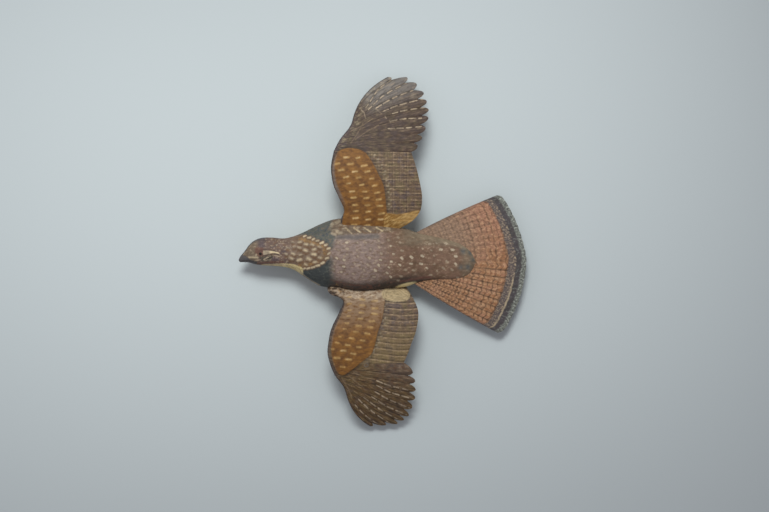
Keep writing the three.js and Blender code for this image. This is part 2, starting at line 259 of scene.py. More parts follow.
# Painted marks on the body, as they show from above: x, y and a size. Spots under FAINT_SPOT are faint
EYE = (-89.3, -1.5)
EYE_RADIUS = 1.05
FAINT_SPOT = 0.8
CAPE_TIPS = [
    (-56.6, 11.4), (-53.4, 10.3), (-50.4, 9.1), (-47.3, 8.0), (-44.2, 6.5), (-41.2, 4.9), (-39.2, 2.3),
    (-39.0, -1.3), (-40.4, -4.8), (-43.6, -8.2), (-47.2, -10.2), (-50.6, -11.4), (-54.1, -12.2),
    (-57.2, -12.5),
]
CAPE_SPOTS = [
    (-60.5, 7.1, 0.8), (-65.6, 7.2, 0.5), (-56.0, 5.5, 0.9), (-60.9, 3.0, 0.7), (-56.4, 1.0, 1.0),
    (-50.0, 1.7, 0.9), (-50.3, -1.9, 1.1), (-65.4, -1.4, 0.9), (-60.1, -2.4, 0.6), (-66.6, -4.9, 0.9),
    (-60.9, -6.0, 1.1), (-54.0, -5.2, 1.1), (-51.4, 5.2, 0.8), (-46.2, 3.6, 0.7), (-45.8, -4.4, 0.8),
    (-69.6, 3.0, 0.5), (-64.6, 3.8, 0.5), (-49.6, -7.6, 0.8), (-70.4, -1.8, 0.5), (-56.2, -9.4, 0.8),
]
BACK_SPOTS = [
    (-32.7, 6.6, 0.5), (-26.3, 6.6, 0.9), (-18.3, 6.6, 0.4), (-12.2, 6.6, 0.4), (-3.0, 8.1, 0.6),
    (4.3, 8.6, 0.6), (6.0, 4.2, 0.8), (-25.9, 2.2, 0.7), (-32.2, 1.3, 0.4), (-18.6, 1.0, 0.4),
    (-8.8, 1.8, 0.4), (-2.5, 3.2, 0.5), (-1.0, -1.2, 0.7), (8.0, -1.6, 0.8), (-25.9, -2.1, 0.5),
    (-33.6, -4.6, 0.9), (-28.3, -6.0, 1.0), (-18.1, -3.3, 0.4), (-9.8, -4.6, 0.7), (-1.5, -6.0, 0.9),
    (6.3, -7.2, 0.9), (-35.6, -8.7, 0.5), (-28.5, -10.9, 0.9), (-20.5, -8.6, 0.4), (-10.8, -9.7, 0.7),
    (-3.0, -9.9, 1.0), (4.6, -11.4, 0.8), (-36.1, -12.8, 0.7), (-30.2, -14.8, 0.8), (-21.5, -16.2, 0.5),
    (-13.7, -13.3, 0.5), (-5.4, -13.6, 1.0), (3.3, -15.5, 0.9), (-14.7, -18.2, 0.4), (-6.4, -18.4, 0.7),
    (5.8, -18.4, 0.9), (12.7, 6.7, 0.6), (11.4, 10.4, 0.6), (14.1, 0.8, 0.7), (14.1, -4.8, 1.1),
    (21.0, -4.0, 1.2), (29.0, -3.2, 1.1), (12.4, -9.6, 0.9), (20.7, -8.8, 1.0), (28.0, -8.8, 1.1),
    (16.7, -13.3, 0.7), (22.6, -13.6, 0.7), (13.5, -17.9, 0.7), (11.4, -21.0, 0.6), (34.4, 5.7, 0.7),
    (39.2, 6.2, 0.5), (46.2, 6.2, 1.1), (29.0, 2.4, 0.4), (35.5, 1.1, 0.4), (42.4, 1.6, 1.1),
    (51.0, 1.4, 1.1), (53.4, -3.4, 1.1), (37.6, -2.9, 0.4), (47.0, -7.2, 0.7), (53.4, -9.1, 1.0),
    (37.6, -9.1, 0.4), (32.3, -12.0, 0.8), (44.3, -12.0, 0.7), (50.5, -13.1, 0.7), (39.7, -14.1, 0.4),
    (34.9, -17.1, 0.7), (54.7, -19.0, 0.6),
]

# Areas of one paint, by the corners of their outlines
OUTLINES = {
    "cape": [
        (-72, 8.6), (-66, 10.6), (-60.5, 12.2), (-55.6, 11.2), (-50.4, 9.6), (-44.6, 7.2), (-40.4, 4.4),
        (-38.2, 0.4), (-39.2, -4.0), (-42.8, -8.2), (-48.2, -10.9), (-55.0, -12.6), (-61.0, -12.4),
        (-68, -9.6),
    ],
    "right_ruff": [
        (-63.0, 12.2), (-58.6, 15.4), (-53.1, 18.0), (-45.8, 21.6), (-39.0, 24.4), (-37.6, 20.0),
        (-38.8, 16.0), (-36.6, 12.6), (-36.0, 8.0), (-38.0, 2.0), (-44.0, 5.0), (-52.0, 8.6), (-57.6, 11.0),
    ],
    "left_ruff": [
        (-58.2, -11.6), (-53.8, -11.6), (-47.3, -10.0), (-41.4, -6.6), (-38.4, -6.0), (-38.3, -12.0),
        (-37.6, -19.0), (-38.8, -24.0), (-42.0, -29.0), (-48.3, -27.6), (-54.6, -23.0), (-59.4, -17.4),
        (-60.2, -13.6),
    ],
    "beak": [
        (-107, 1.0), (-103.2, -1.9), (-100.4, -3.0), (-98.3, -4.4), (-96.8, -5.8), (-93.6, -6.8),
        (-91.6, -7.6), (-94.0, -9.4), (-107, -9.6),
    ],
    "culmen": [(-104.0, -1.0), (-98.6, 2.6), (-94.8, 6.6), (-91.4, 9.8), (-89.6, 12.0), (-98.0, 12.0)],
    "face": [(-93.0, 2.4), (-90.2, 3.0), (-87.4, 2.4), (-87.2, -1.6), (-89.6, -2.9), (-92.6, -2.0)],
    "brow": [
        (-87.2, 0.6), (-84.4, 0.8), (-81.0, 0.6), (-78.4, 0.1), (-76.0, -0.6), (-75.4, -1.6), (-78.0, -1.2),
        (-80.6, -1.2), (-83.2, -1.8), (-85.4, -2.2), (-87.2, -2.2),
    ],
    "cheek": [
        (-89.4, -3.8), (-86.6, -3.2), (-83.0, -2.6), (-80.2, -3.0), (-80.6, -5.4), (-83.0, -6.9),
        (-86.8, -7.3), (-89.6, -6.2),
    ],
    "throat": [
        (-88.0, -9.4), (-82.0, -9.2), (-77.0, -8.8), (-70.0, -8.8), (-65.6, -9.2), (-61.6, -10.6),
        (-58.6, -12.6), (-58.8, -19.0), (-62.6, -18.6), (-66.4, -15.4), (-71.0, -13.8), (-77.0, -12.8),
        (-88.0, -12.0),
    ],
    "scapulars": [
        (-38.8, 15.4), (-35.0, 12.2), (-26.0, 12.6), (-12.0, 13.2), (0.0, 13.8), (9.0, 15.0), (10.0, 18.0),
        (0.0, 22.0), (-18.0, 26.0), (-34.0, 25.4), (-38.0, 22.0), (-39.2, 18.4),
    ],
    "violet": [(-92.6, 9.0), (-86.8, 8.6), (-86.6, 3.4), (-90.6, 3.2)],
}

# Brush lines on the head, the neck, beside the wing and along the rump: half width, then the line
LINES = {
    "strokes": [
        (0.52, [(-27.0, 17.4), (-22.6, 13.2)]), (0.52, [(-21.2, 17.4), (-16.1, 14.1)]),
        (0.52, [(-13.3, 17.4), (-8.8, 14.4)]), (0.52, [(-4.5, 17.6), (0.0, 15.0)]),
    ],
    "dark_lines": [
        (0.4, [(-87.0, 1.7), (-84.5, 1.6), (-81.5, 1.3), (-78.0, 0.4)]),
        (0.45, [(-87.4, -3.2), (-84.0, -2.1), (-80.6, -1.5), (-77.6, -1.8), (-75.1, -2.6)]),
        (0.5, [(-84.3, -5.4), (-82.4, -4.6), (-80.7, -4.1)]),
        (0.35, [(-103.6, -6.6), (-98.0, -6.5), (-94.4, -7.2), (-92.2, -7.7)]),
    ],
    "pale_lines": [
        (0.4, [(-87.0, -5.7), (-85.3, -4.9), (-83.6, -4.1)]),
        (0.35, [(-80.3, -2.5), (-77.5, -2.7), (-74.7, -3.9)]),
        (0.35, [(-93.4, -6.6), (-90.8, -6.1), (-89.3, -5.9)]),
        (0.45, [(-87.0, -9.3), (-81.0, -9.3), (-75.0, -9.4), (-69.0, -9.8)]),
        (0.5, [(-60.4, -14.4), (-56.6, -18.0), (-51.4, -21.6), (-46.0, -24.6)]),
    ],
    "red_lines": [
        (0.6, [(-91.2, -8.2), (-88.0, -8.3), (-84.0, -8.0), (-80.5, -7.6), (-73.0, -7.6)]),
        (0.3, [(-38.0, -20.6), (-30.0, -22.6), (-20.0, -24.6), (-8.0, -25.2)]),
        (0.8, [(13.0, -21.6), (20.0, -20.4), (28.0, -19.2), (35.0, -18.4)]),
    ],
    "wing_line": [(1.5, [(-45, 9.6), (-35, 10.6), (-20, 10.6), (-4, 11.2)])],
}

# Short brush dabs: x, y, half length, half width, degrees
DABS = {
    "lores": [(-95.4, -4.1, 2.9, 0.75, -4), (-92.0, -4.1, 1.5, 0.8, -10), (-92.4, -2.3, 1.0, 0.7, 70)],
    "blotches": [
        (-37.0, 19.7, 1.7, 1.1, 60), (-33.4, 15.2, 1.7, 0.9, -40), (-35.7, 12.9, 2.2, 0.8, -30),
        (-31.0, 13.8, 1.5, 0.8, 10), (-33.0, 21.6, 2.0, 0.9, 30), (4.0, 17.2, 1.6, 0.8, -30),
    ],
    "ear_patch": [(-78.2, -5.4, 2.9, 1.4, 0)],
    "end_spots": [
        (58.6, 0.4, 1.7, 1.7, 0), (64.2, -0.6, 1.9, 1.9, 0), (57.0, -11.4, 1.4, 1.4, 0),
        (62.4, -11.2, 1.8, 1.8, 0), (66.0, -6.0, 1.2, 1.2, 0),
    ],
}


def linear(hex_colour):
    """An sRGB hex colour as linear red, green, blue and alpha."""
    parts = [int(hex_colour[i : i + 2], 16) / 255 for i in (1, 3, 5)]
    return (*[p / 12.92 if p <= 0.04045 else ((p + 0.055) / 1.055) ** 2.4 for p in parts], 1.0)


def colour(name, hex_colour, words):
    """A colour that the sidebar shows."""
    return bpy.props.FloatVectorProperty(
        name=name, description=words, subtype="COLOR", size=4, min=0, max=1, default=linear(hex_colour)
    )


def number(name, default, words, unit="LENGTH"):
    """A number that the sidebar shows."""
    return bpy.props.FloatProperty(name=name, description=words, default=default, unit=unit)


class BodyPaint(bpy.types.PropertyGroup):
    """Paints on the body and head."""

    # Back: brown of the back, whose lilac grey is partly a painted sheen, the broad greyish highlight on
    # top of the body
    back: colour("Back", "#836f69", "Lilac brown of the upper back")
    rump: colour("Rump", "#6f5344", "Warmer brown of the rump")
    # Flank: the flank's dark brown marks, laid deeper as painted shade on the side of the body turned from
    # the light
    flank: colour("Flank", "#221d1d", "Dark brown low on the flanks")
    earth: colour("Earth", "#624834", "Reddish brown between the pale feathers")
    crown: colour("Crown", "#645048", "Brown of the crown and nape")
    violet: colour("Violet", "#4a4148", "Violet grey at the front of the crown")
    cape: colour("Cape", "#715e4f", "Brown of the hind neck's cape")
    gold: colour("Gold", "#8b6a40", "Golden brown behind the cape's tips")
    tips: colour("Tips", "#cdb894", "Cream tips of the cape and the stripe behind the eye")
    nape: colour("Nape", "#a0907a", "Soft pale feathers of the neck")
    spots: colour("Spots", "#b7a792", "Cream spots of the back and rump")
    # The two ruffs are one blue grey paint, lit and shaded: the left ruff, turned from the light, takes a
    # copy darkened as painted shade
    ruff_light: colour("Right ruff", "#50524c", "Blue grey of the ruff that faces the light")
    ruff_shaded: colour("Left ruff", "#383b3b", "Blue black of the other ruff")
    scapulars: colour("Scapulars", "#645446", "Grey brown strip beside the right wing")
    olive: colour("Olive", "#6d604f", "Olive grey of the forehead and the end of the tail coverts")
    fringe: colour("Fringe", "#7f6f5c", "Lighter olive brown where the rump meets the tail")
    beak: colour("Beak", "#49474a", "Dark horn grey of the beak")
    face: colour("Face", "#644238", "Reddish brown round the eye and along the throat")
    cheek: colour("Cheek", "#3f3d35", "Dark olive grey of the cheek")
    cream: colour("Cream", "#cfbc8a", "Yellow cream of the throat and the flank's edge")
    belly: colour("Belly", "#b9a88c", "Buff of the belly")
    eye: colour("Eye", "#1a110e", "Dark brown of the painted eye")
    slate: colour("Slate", "#3b424b", "Blue grey lines and spots")


class WingPaint(bpy.types.PropertyGroup):
    """Paints on the wings."""

    coverts: colour("Coverts", "#774f20", "Golden brown of the small covert feathers")
    # Covert lines: also darkens each covert towards its root, as painted shade under the covert above
    covert_lines: colour("Covert lines", "#57361e", "Reddish brown between the coverts")
    coverts_pale: colour("Pale coverts", "#7b624b", "Greyed brown near the left wing's root")
    root_pale: colour("Pale root", "#a6937f", "Pale buff edge of the left wing's root")
    dashes: colour("Dashes", "#b08f5b", "Cream dashes of the coverts")
    secondaries: colour("Secondaries", "#614d3d", "Grey brown of the inner flight feathers")
    pale_lines: colour("Pale lines", "#9c856a", "Pale edges of the inner flight feathers")
    # Dark lines: also the painted shade line just outside the raised coverts
    dark_lines: colour("Dark lines", "#31261f", "Dark brown of the lines between feathers")
    beads: colour("Beads", "#a1927b", "Pale beads along the coverts")
    primaries: colour("Primaries", "#493931", "Dark brown of the outer flight feathers")
    primaries_warm: colour("Warm primaries", "#59442a", "Warmer brown near the wrist")
    marks: colour("Primary marks", "#b5a189", "Cream marks along the outer flight feathers")
    tertials: colour("Tertials", "#876331", "Ochre of the innermost feathers")
    tertial_streaks: colour("Tertial streaks", "#c19e67", "Light ochre streaks")
    oval: colour("Oval", "#a39071", "Cream ochre of the left wing's oval patch")
    oval_lines: colour("Oval lines", "#6f5c3b", "Brown swirls of the oval patch")
    # Leading edge grey: also laid on the right wing's outer primaries, partly as a painted sheen
    lead: colour("Leading edge", "#76716e", "Grey of the leading edge")
    edge: colour("Edge", "#2e2f38", "Blue grey line along the very edge")
    olive: colour("Olive", "#5f5638", "Olive tint near the wrist and across the inner feathers")
    violet: colour("Violet", "#544a50", "Violet grey tint of the same feathers")
    under: colour("Underside", "#a89d8c", "Pale buff of the wings from below")


class TailPaint(bpy.types.PropertyGroup):
    """Paints on the tail fan."""

    rufous: colour("Rufous", "#8e6243", "Orange brown of the tail")
    # Pink brown: the upper half's paler pink is partly the tail's own tone, partly a painted sheen where
    # the fan tilts towards the light
    pink_and_sheen: colour("Pink brown", "#9a6f59", "Pinker brown of the upper half")
    pale: colour("Pale strokes", "#b79270", "Light strokes beside the bars")
    greyed: colour("Greyed", "#866d5b", "Greyed brown near the rump")
    bars: colour("Bars", "#402a1d", "Dark brown bars and feather lines")
    mottle: colour("Mottled band", "#6c5d55", "Grey band inside the dark band")
    band: colour("Dark band", "#3b3739", "Purplish black band")
    violet: colour("Violet", "#4c4448", "Purple grey along the upper part of the dark band")
    tip: colour("Tip", "#7b7f76", "Green grey tips")
    tip_specks: colour("Tip specks", "#adafa8", "Grey white specks of the tips")
    line: colour("Cream line", "#a7967c", "Cream line between the two bands")
    under: colour("Underside", "#9d9182", "Pale buff of the tail from below")


class CarvingSizes(bpy.types.PropertyGroup):
    """Heights of the carved relief."""

    feather_step: number("Primary step", 0.0002, "Height of an outer flight feather's edge")
    covert_step: number("Covert step", 0.00045, "Height of the coverts' edge")
    scale_step: number("Scale step", 0.0001, "Height of a small covert's tip")
    row_step: number("Secondary step", 0.0002, "Height of an inner flight feather's edge")
    tail_step: number("Tail step", 0.0001, "Height of a tail feather's edge")


class StageSettings(bpy.types.PropertyGroup):
    """The board that the bird lies on, the light and the camera."""

    board: colour("Board", "#b5bcc0", "Pale blue grey wall paint")
    key_power: number("Window light", 1.075, "Power of the large soft light", "POWER")
    fill: number("Fill", 0.438, "Strength of the light from all round", "NONE")
    camera_height: number("Camera height", PHOTO_HEIGHT * MM, "Height of the camera over the board")
    frame_width: number("Frame width", 0.5614, "Width of the picture, on the board")


def lerp(a, b, share):
    """The value a share of the way from a to b."""
    return a + (b - a) * share


def curve_through(points):
    """A smooth curve y(x) through points whose x grows, as cubic pieces with averaged slopes."""
    px, py = np.array(points, float).T
    before = np.maximum(np.arange(len(px)) - 1, 0)
    after = np.minimum(np.arange(len(px)) + 1, len(px) - 1)
    slope = (py[after] - py[before]) / (px[after] - px[before])

    def at(x):
        i = np.clip(np.searchsorted(px, x, side="left") - 1, 0, len(px) - 2)
        h = px[i + 1] - px[i]
        t = np.clip((x - px[i]) / h, 0, 1)
        s = 1 - t
        ends = (1 + 2 * t) * s * s * py[i] + t * t * (3 - 2 * t) * py[i + 1]
        return ends + h * t * s * (s * slope[i] - t * slope[i + 1])

    return at


def spline(points, share):
    """Points at shares from 0 to 1 along a smooth curve through points spaced evenly in share."""
    p = np.array(points, float)
    last = len(p) - 1
    at = np.asarray(share, float) * last
    i = np.clip(np.floor(at).astype(int), 0, last)
    w = (at - i)[..., None]
    p0, p1 = p[np.maximum(i - 1, 0)], p[i]
    p2, p3 = p[np.minimum(i + 1, last)], p[np.minimum(i + 2, last)]
    v0, v1 = (p2 - p0) / 2, (p3 - p1) / 2
    return (2 * p1 - 2 * p2 + v0 + v1) * w**3 + (3 * p2 - 3 * p1 - 2 * v0 - v1) * w**2 + v0 * w + p1


def span_to(a, b, x, y):
    """Distance from each point to the straight stretch from a to b."""
    ex, ey = b[0] - a[0], b[1] - a[1]
    t = np.clip(((x - a[0]) * ex + (y - a[1]) * ey) / (ex * ex + ey * ey + 1e-9), 0, 1)
    return np.hypot(x - a[0] - t * ex, y - a[1] - t * ey)


def depth_inside(corners, x, y):
    """Distance from each point to a smooth closed outline through the corners, positive inside it."""
    loop = [*corners[-2:], *corners, *corners[:2]]
    steps = OUTLINE_STEPS * (len(loop) - 1)
    outline = spline(loop, np.linspace(0, 1, steps + 1))[2 * OUTLINE_STEPS : -OUTLINE_STEPS]
    nearest = np.full(x.shape, 1e9)
    within = np.zeros(x.shape, bool)
    for a, b in zip(outline, np.roll(outline, -1, axis=0)):
        nearest = np.minimum(nearest, span_to(a, b, x, y))
        rise = b[1] - a[1] if b[1] != a[1] else 1e-9
        within ^= ((a[1] > y) != (b[1] > y)) & (x < a[0] + (y - a[1]) * (b[0] - a[0]) / rise)
    return np.where(within, nearest, -nearest)


def line_depth(points, half_width, x, y):
    """How deep each point lies inside a brush line through the points."""
    depth = np.full(x.shape, -9.0)
    for a, b in zip(points[:-1], points[1:]):
        depth = np.maximum(depth, half_width - span_to(a, b, x, y))
    return depth


def lines_depth(lines, x, y):
    """How deep each point lies inside any of several brush lines."""
    return np.maximum.reduce([line_depth(points, half_width, x, y) for half_width, points in lines])


def dab_depth(dabs, x, y):
    """How deep each point lies inside short brush dabs: (x, y, half length, half width, degrees) each."""
    depth = np.full(x.shape, -9.0)
    for cx, cy, half_length, half_width, degrees in dabs:
        turn = math.radians(degrees)
        reach = max(half_length - half_width, 0)
        dx, dy = reach * math.cos(turn), reach * math.sin(turn)
        depth = np.maximum(depth, half_width - span_to((cx - dx, cy - dy), (cx + dx, cy + dy), x, y))
    return depth


def smooth_step(low, high, value):
    """Goes smoothly from 0 where the value is at low to 1 where it is at high."""
    t = np.clip((value - low) / (high - low), 0, 1)
    return t * t * (3 - 2 * t)


def finish_piece(name, bm, place, nodes):
    """Moves every vertex to its place, stores the paint fields and stands the piece in for its solid."""
    spots = np.array([v.co[:] for v in bm.verts])
    where, fields = place(*spots.T)
    for vertex, spot in zip(bm.verts, where * MM):
        vertex.co = spot
    bm.normal_update()
    bmesh.ops.recalc_face_normals(bm, faces=bm.faces[:])
    mesh = bpy.data.meshes.new(name)
    bm.to_mesh(mesh)
    bm.free()
    for field, values in fields.items():
        kind, entry = ("FLOAT", "value") if values.ndim == 1 else ("FLOAT_VECTOR", "vector")
        data = mesh.attributes.new(field, kind, "POINT").data
        data.foreach_set(entry, np.ascontiguousarray(values, "f").ravel())
    mesh.shade_smooth()
    mesh.set_sharp_from_angle(angle=math.radians(SHARP_ANGLE))
    piece = bpy.data.objects.new(name, mesh)
    bpy.context.scene.collection.objects.link(piece)
    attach(piece, "root")
    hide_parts(*nodes)
    return piece


def plate(columns, rows):
    """A closed plate one unit thick: x and y run from 0 to 1 over it, and z is 0 below and 1 on top."""
    bm = bmesh.new()
    bmesh.ops.create_grid(bm, x_segments=columns, y_segments=rows, size=0.5)
    bmesh.ops.translate(bm, verts=bm.verts[:], vec=(0.5, 0.5, 0))
    raised = bmesh.ops.extrude_face_region(bm, geom=bm.faces[:], use_keep_orig=True)["geom"]
    bmesh.ops.translate(bm, verts=[v for v in raised if isinstance(v, bmesh.types.BMVert)], vec=(0, 0, 1))
    return bm


def along_tips(tips, u):
    """The corner points of the feather tips, at half-feather steps."""
    p = np.array(tips, float)
    at = u * PRIMARIES + 0.5
    i = np.clip(np.floor(at).astype(int), 0, len(p) - 2)
    low = np.where(i == 0, 0.5, i)
    t = np.minimum((at - low) / (i + 1 - low), 1)[:, None]
    return lerp(p[i], p[i + 1], t)


def hand_point(wing, u, reach):
    """A point of the hand's fan and its ray's length: rays bend from the wing's bone out to the tips."""
    start = spline(wing["bone"], u)
    end = along_tips(wing["tips"], u)
    first = lerp(np.array(wing["bone"][0]), np.array(wing["tips"][0]), 0.45)
    bend = lerp(first, np.array(wing["outer_bend"]), u[:, None])
    r = reach[:, None]
    return (1 - r) ** 2 * start + 2 * (1 - r) * r * bend + r**2 * end, np.hypot(*(end - start).T)


def primary_dashes(wing, feather, reach, length, web):
    """Rows of cream dashes, one along most of the outer flight feathers."""
    draw = np.random.default_rng(7)
    depth = np.full(feather.shape, -2.0)
    for row in wing["quill_rows"]:
        jitter = draw.uniform(-1, 1, QUILL_DASHES + 3)
        across = (feather - curve_through(row)(reach)) * web
        start, end = row[0][0], row[-1][0] + 0.02
        steps = (reach - start) * length / QUILL_PITCH + 0.2 * jitter[-1]
        beat = np.clip(np.floor(steps), 0, QUILL_DASHES).astype(int)
        off_middle = np.abs(steps - beat - 0.5) * QUILL_PITCH
        past_end = np.maximum(off_middle - QUILL_DASH["half_length"] - 0.4 * jitter[beat + 1], 0)
        dab = QUILL_DASH["half_width"] + 0.09 * jitter[beat] - np.hypot(past_end, across)
        depth = np.maximum(depth, np.where((reach > start) & (reach < end), dab, -2))
    return depth


def covert_dashes(wing, x, d):
    """Cream dashes down the coverts, then each point's row and how far it is from a column's middle."""
    first, pitch, count = wing["dash_rows"]
    middle = curve_through(wing["dash_line"])
    draw = np.random.default_rng(23)
    dabs = []
    for column in (-1, 0, 1):
        for row in range(count):
            at_d = first + pitch * row + wing["dash_slant"] * column + draw.uniform(-0.45, 0.45)
            worn = wing["side"] < 0 and column < 0
            size = draw.uniform(0.5, 0.8) if worn else draw.uniform(0.8, 1.15)
            lean = wing["dash_tilt"] + draw.uniform(-6, 6)
            at_x = float(middle(at_d)) + COVERT_COLUMN * column + draw.uniform(-0.5, 0.5)
            dabs.append((at_x, at_d, 2.2 * size, 0.66 * size, lean))
    column = (x - middle(d)) / COVERT_COLUMN
    off = np.abs(column - np.round(column))
    line = -0.22 + 0.5 * (2 * off) ** 2
    rows = (d - first - wing["dash_slant"] * column) / pitch
    return dab_depth(dabs, x, d), rows - line, off


def seen_from_above(x, y, z):
    """Where a raised point shows on the board in a picture taken from straight above the middle."""
    outwards = PHOTO_HEIGHT / (PHOTO_HEIGHT - z)
    return x * outwards, y * outwards


def wing_marks(wing, x, d):
    """How deep each point lies inside a wing's painted marks, and its row and column among the feathers."""
    dashes, scale, column = covert_dashes(wing, x, d)
    beads = []
    for i, (bead_x, bead_d) in enumerate(spline(wing["beads"], np.linspace(0, 1, BEADS))):
        beads.append((bead_x + 0.7 * (-1) ** i, bead_d, 1.0, 0.7, 20 * wing["side"]))
    pitch, tilt, shift, sag = wing["row"]
    depths = {
        "dashes": dashes,
        "beads": dab_depth(beads, x, d),
        "specks": lines_depth([(0.42, points) for points in wing["specks"]], x, d),
        "shafts": lines_depth([(0.35, points) for points in wing["shafts"]], x, d),
    }
    return {
        **{name: np.clip(depth, -2, 2) for name, depth in depths.items()},
        "coverts": np.clip(depth_inside(wing["coverts"], x, d), -12, 12),
        "tertials": np.clip(depth_inside(wing["tertials"], x, d), -8, 8),
        "scale": scale,
        "column": column,
        "rows": (d + tilt * x + sag * np.maximum(x - 6, 0) ** 2) / pitch + shift,
    }


def wing_place(wing, sizes):
    """Gives the function that places a plate's vertices on the wing."""
    arm_share = ARM_COLUMNS / (ARM_COLUMNS + HAND_COLUMNS)
    root_d, root_z = wing["root"]
    span = HALF_SPAN - root_d
    bow = (root_z + wing["rise"] * span - wing["tip_z"]) / span**2
    feather_step, covert_step, scale_step, row_step = (
        step / MM for step in (sizes.feather_step, sizes.covert_step, sizes.scale_step, sizes.row_step)
    )

    def place(share, t, top):
        hand = share >= arm_share - 1e-6
        s = np.clip(share / arm_share, 0, 1)
        u = np.clip((share - arm_share) / (1 - arm_share), 0, 1)
        feather = u * PRIMARIES
        fraction = feather % 1
        _, length = hand_point(wing, u, t)
        notch = np.where(u > 0.999, 0, NOTCH * np.abs(2 * fraction - 1) ** 2.4)
        reach = t * (1 - notch / length)
        on_hand, _ = hand_point(wing, u, reach)
        beside, _ = hand_point(wing, np.minimum(u + 0.01, 1), reach)
        web = np.hypot(*(beside - on_hand).T) / (0.01 * PRIMARIES) + 0.2
        web = np.where(u > 0.985, 3.0, web)
        on_arm = lerp(spline(wing["lead"], s), spline(wing["trail"], s), t[:, None])
        x, d = np.where(hand[:, None], on_hand, on_arm).T

        out = d - root_d
        z = root_z + wing["rise"] * out - bow * out**2 - WING_CAMBER * (2 * t - 0.9) ** 2
        thick = np.where(
            d < WRIST_D,
            lerp(WING_THICKNESS["root"], WING_THICKNESS["wrist"], np.maximum(out, 0) / (WRIST_D - root_d)),
            lerp(WING_THICKNESS["wrist"], WING_THICKNESS["tip"], (d - WRIST_D) / (HALF_SPAN - WRIST_D)),
        )
        nose = np.sqrt(np.clip(1 - (1 - np.minimum(t / NOSE_SHARE, 1)) ** 2, 0, 1))
        edge = WING_THICKNESS["edge"]
        half = (edge + (thick - edge) * (1 - t) ** 0.8) * (0.16 + 0.84 * nose) / 2

        middle, _ = hand_point(wing, np.zeros(1), np.array([0.5]))
        division = curve_through([wing["bone"][0], tuple(middle[0]), wing["tips"][0]])
        marks = wing_marks(wing, *seen_from_above(x, d, z))
        lead_points = np.concatenate([
            spline(wing["lead"], np.linspace(0.05, 1, 24)),
            spline(wing["bone"], np.linspace(0.1, 1, 8)),
            hand_point(wing, np.ones(14), np.linspace(0.05, 1, 14))[0],
        ])
        lead = -line_depth(lead_points, 0, x, d)

        on_top = top > 0.5
        relief_hand = feather_step * fraction**1.4 + 0.06 * (1 - (2 * fraction - 1) ** 2)
        relief_hand += 0.05 * np.exp(-(((fraction - 0.6) * web / 0.35) ** 2))
        relief_hand *= np.minimum(1, t * 2.5) * (1 - 0.75 * smooth_step(-0.6, 0.6, marks["coverts"]))
        relief_arm = row_step * (marks["rows"] % 1) * smooth_step(0.3, -0.5, marks["coverts"])
        relief = np.where(hand, relief_hand, relief_arm)
        scales = covert_step + scale_step * (1 - marks["scale"] % 1)
        relief += scales * smooth_step(-0.35, 0.35, marks["coverts"])
        relief += 0.25 * smooth_step(-0.3, 0.3, marks["tertials"])
        relief += 0.12 * smooth_step(-0.1, 0.4, marks["beads"])
        along, beside = (x - KNOB["x"]) / KNOB["length"], (d - KNOB["d"]) / KNOB["width"]
        knob = np.exp(-(along**2) - beside**2)
        lift = np.where(on_top, half + relief * smooth_step(0, 0.05, t) + wing["tuft"] * knob, -half)
        where = np.stack([x, wing["side"] * d, z + lift], axis=1)
        lay_hand = np.stack([reach * length, feather * FEATHER_LAY, 0 * x], axis=1)
        lay_arm = np.stack([x - LEAD_X, d - WRIST_D, 0 * x], axis=1)
        fields = {
            **marks,
            "upper": np.where(on_top, 1.0, 0.0),
            "lay": np.where(hand[:, None], lay_hand, lay_arm),
            "reach": np.where(hand, reach, 0),
            "feather": np.where(hand, feather, 0),
            "hand": np.clip(d - division(x), -12, 12),
            "web_gap": np.where(hand, np.minimum(fraction, 1 - fraction) * web, 3.0),
            "quill": np.where(hand, primary_dashes(wing, feather, reach, length, web), -2),
            "lead": lead,
            "out": d,
            "knob": knob,
        }
        return where, fields

    return place


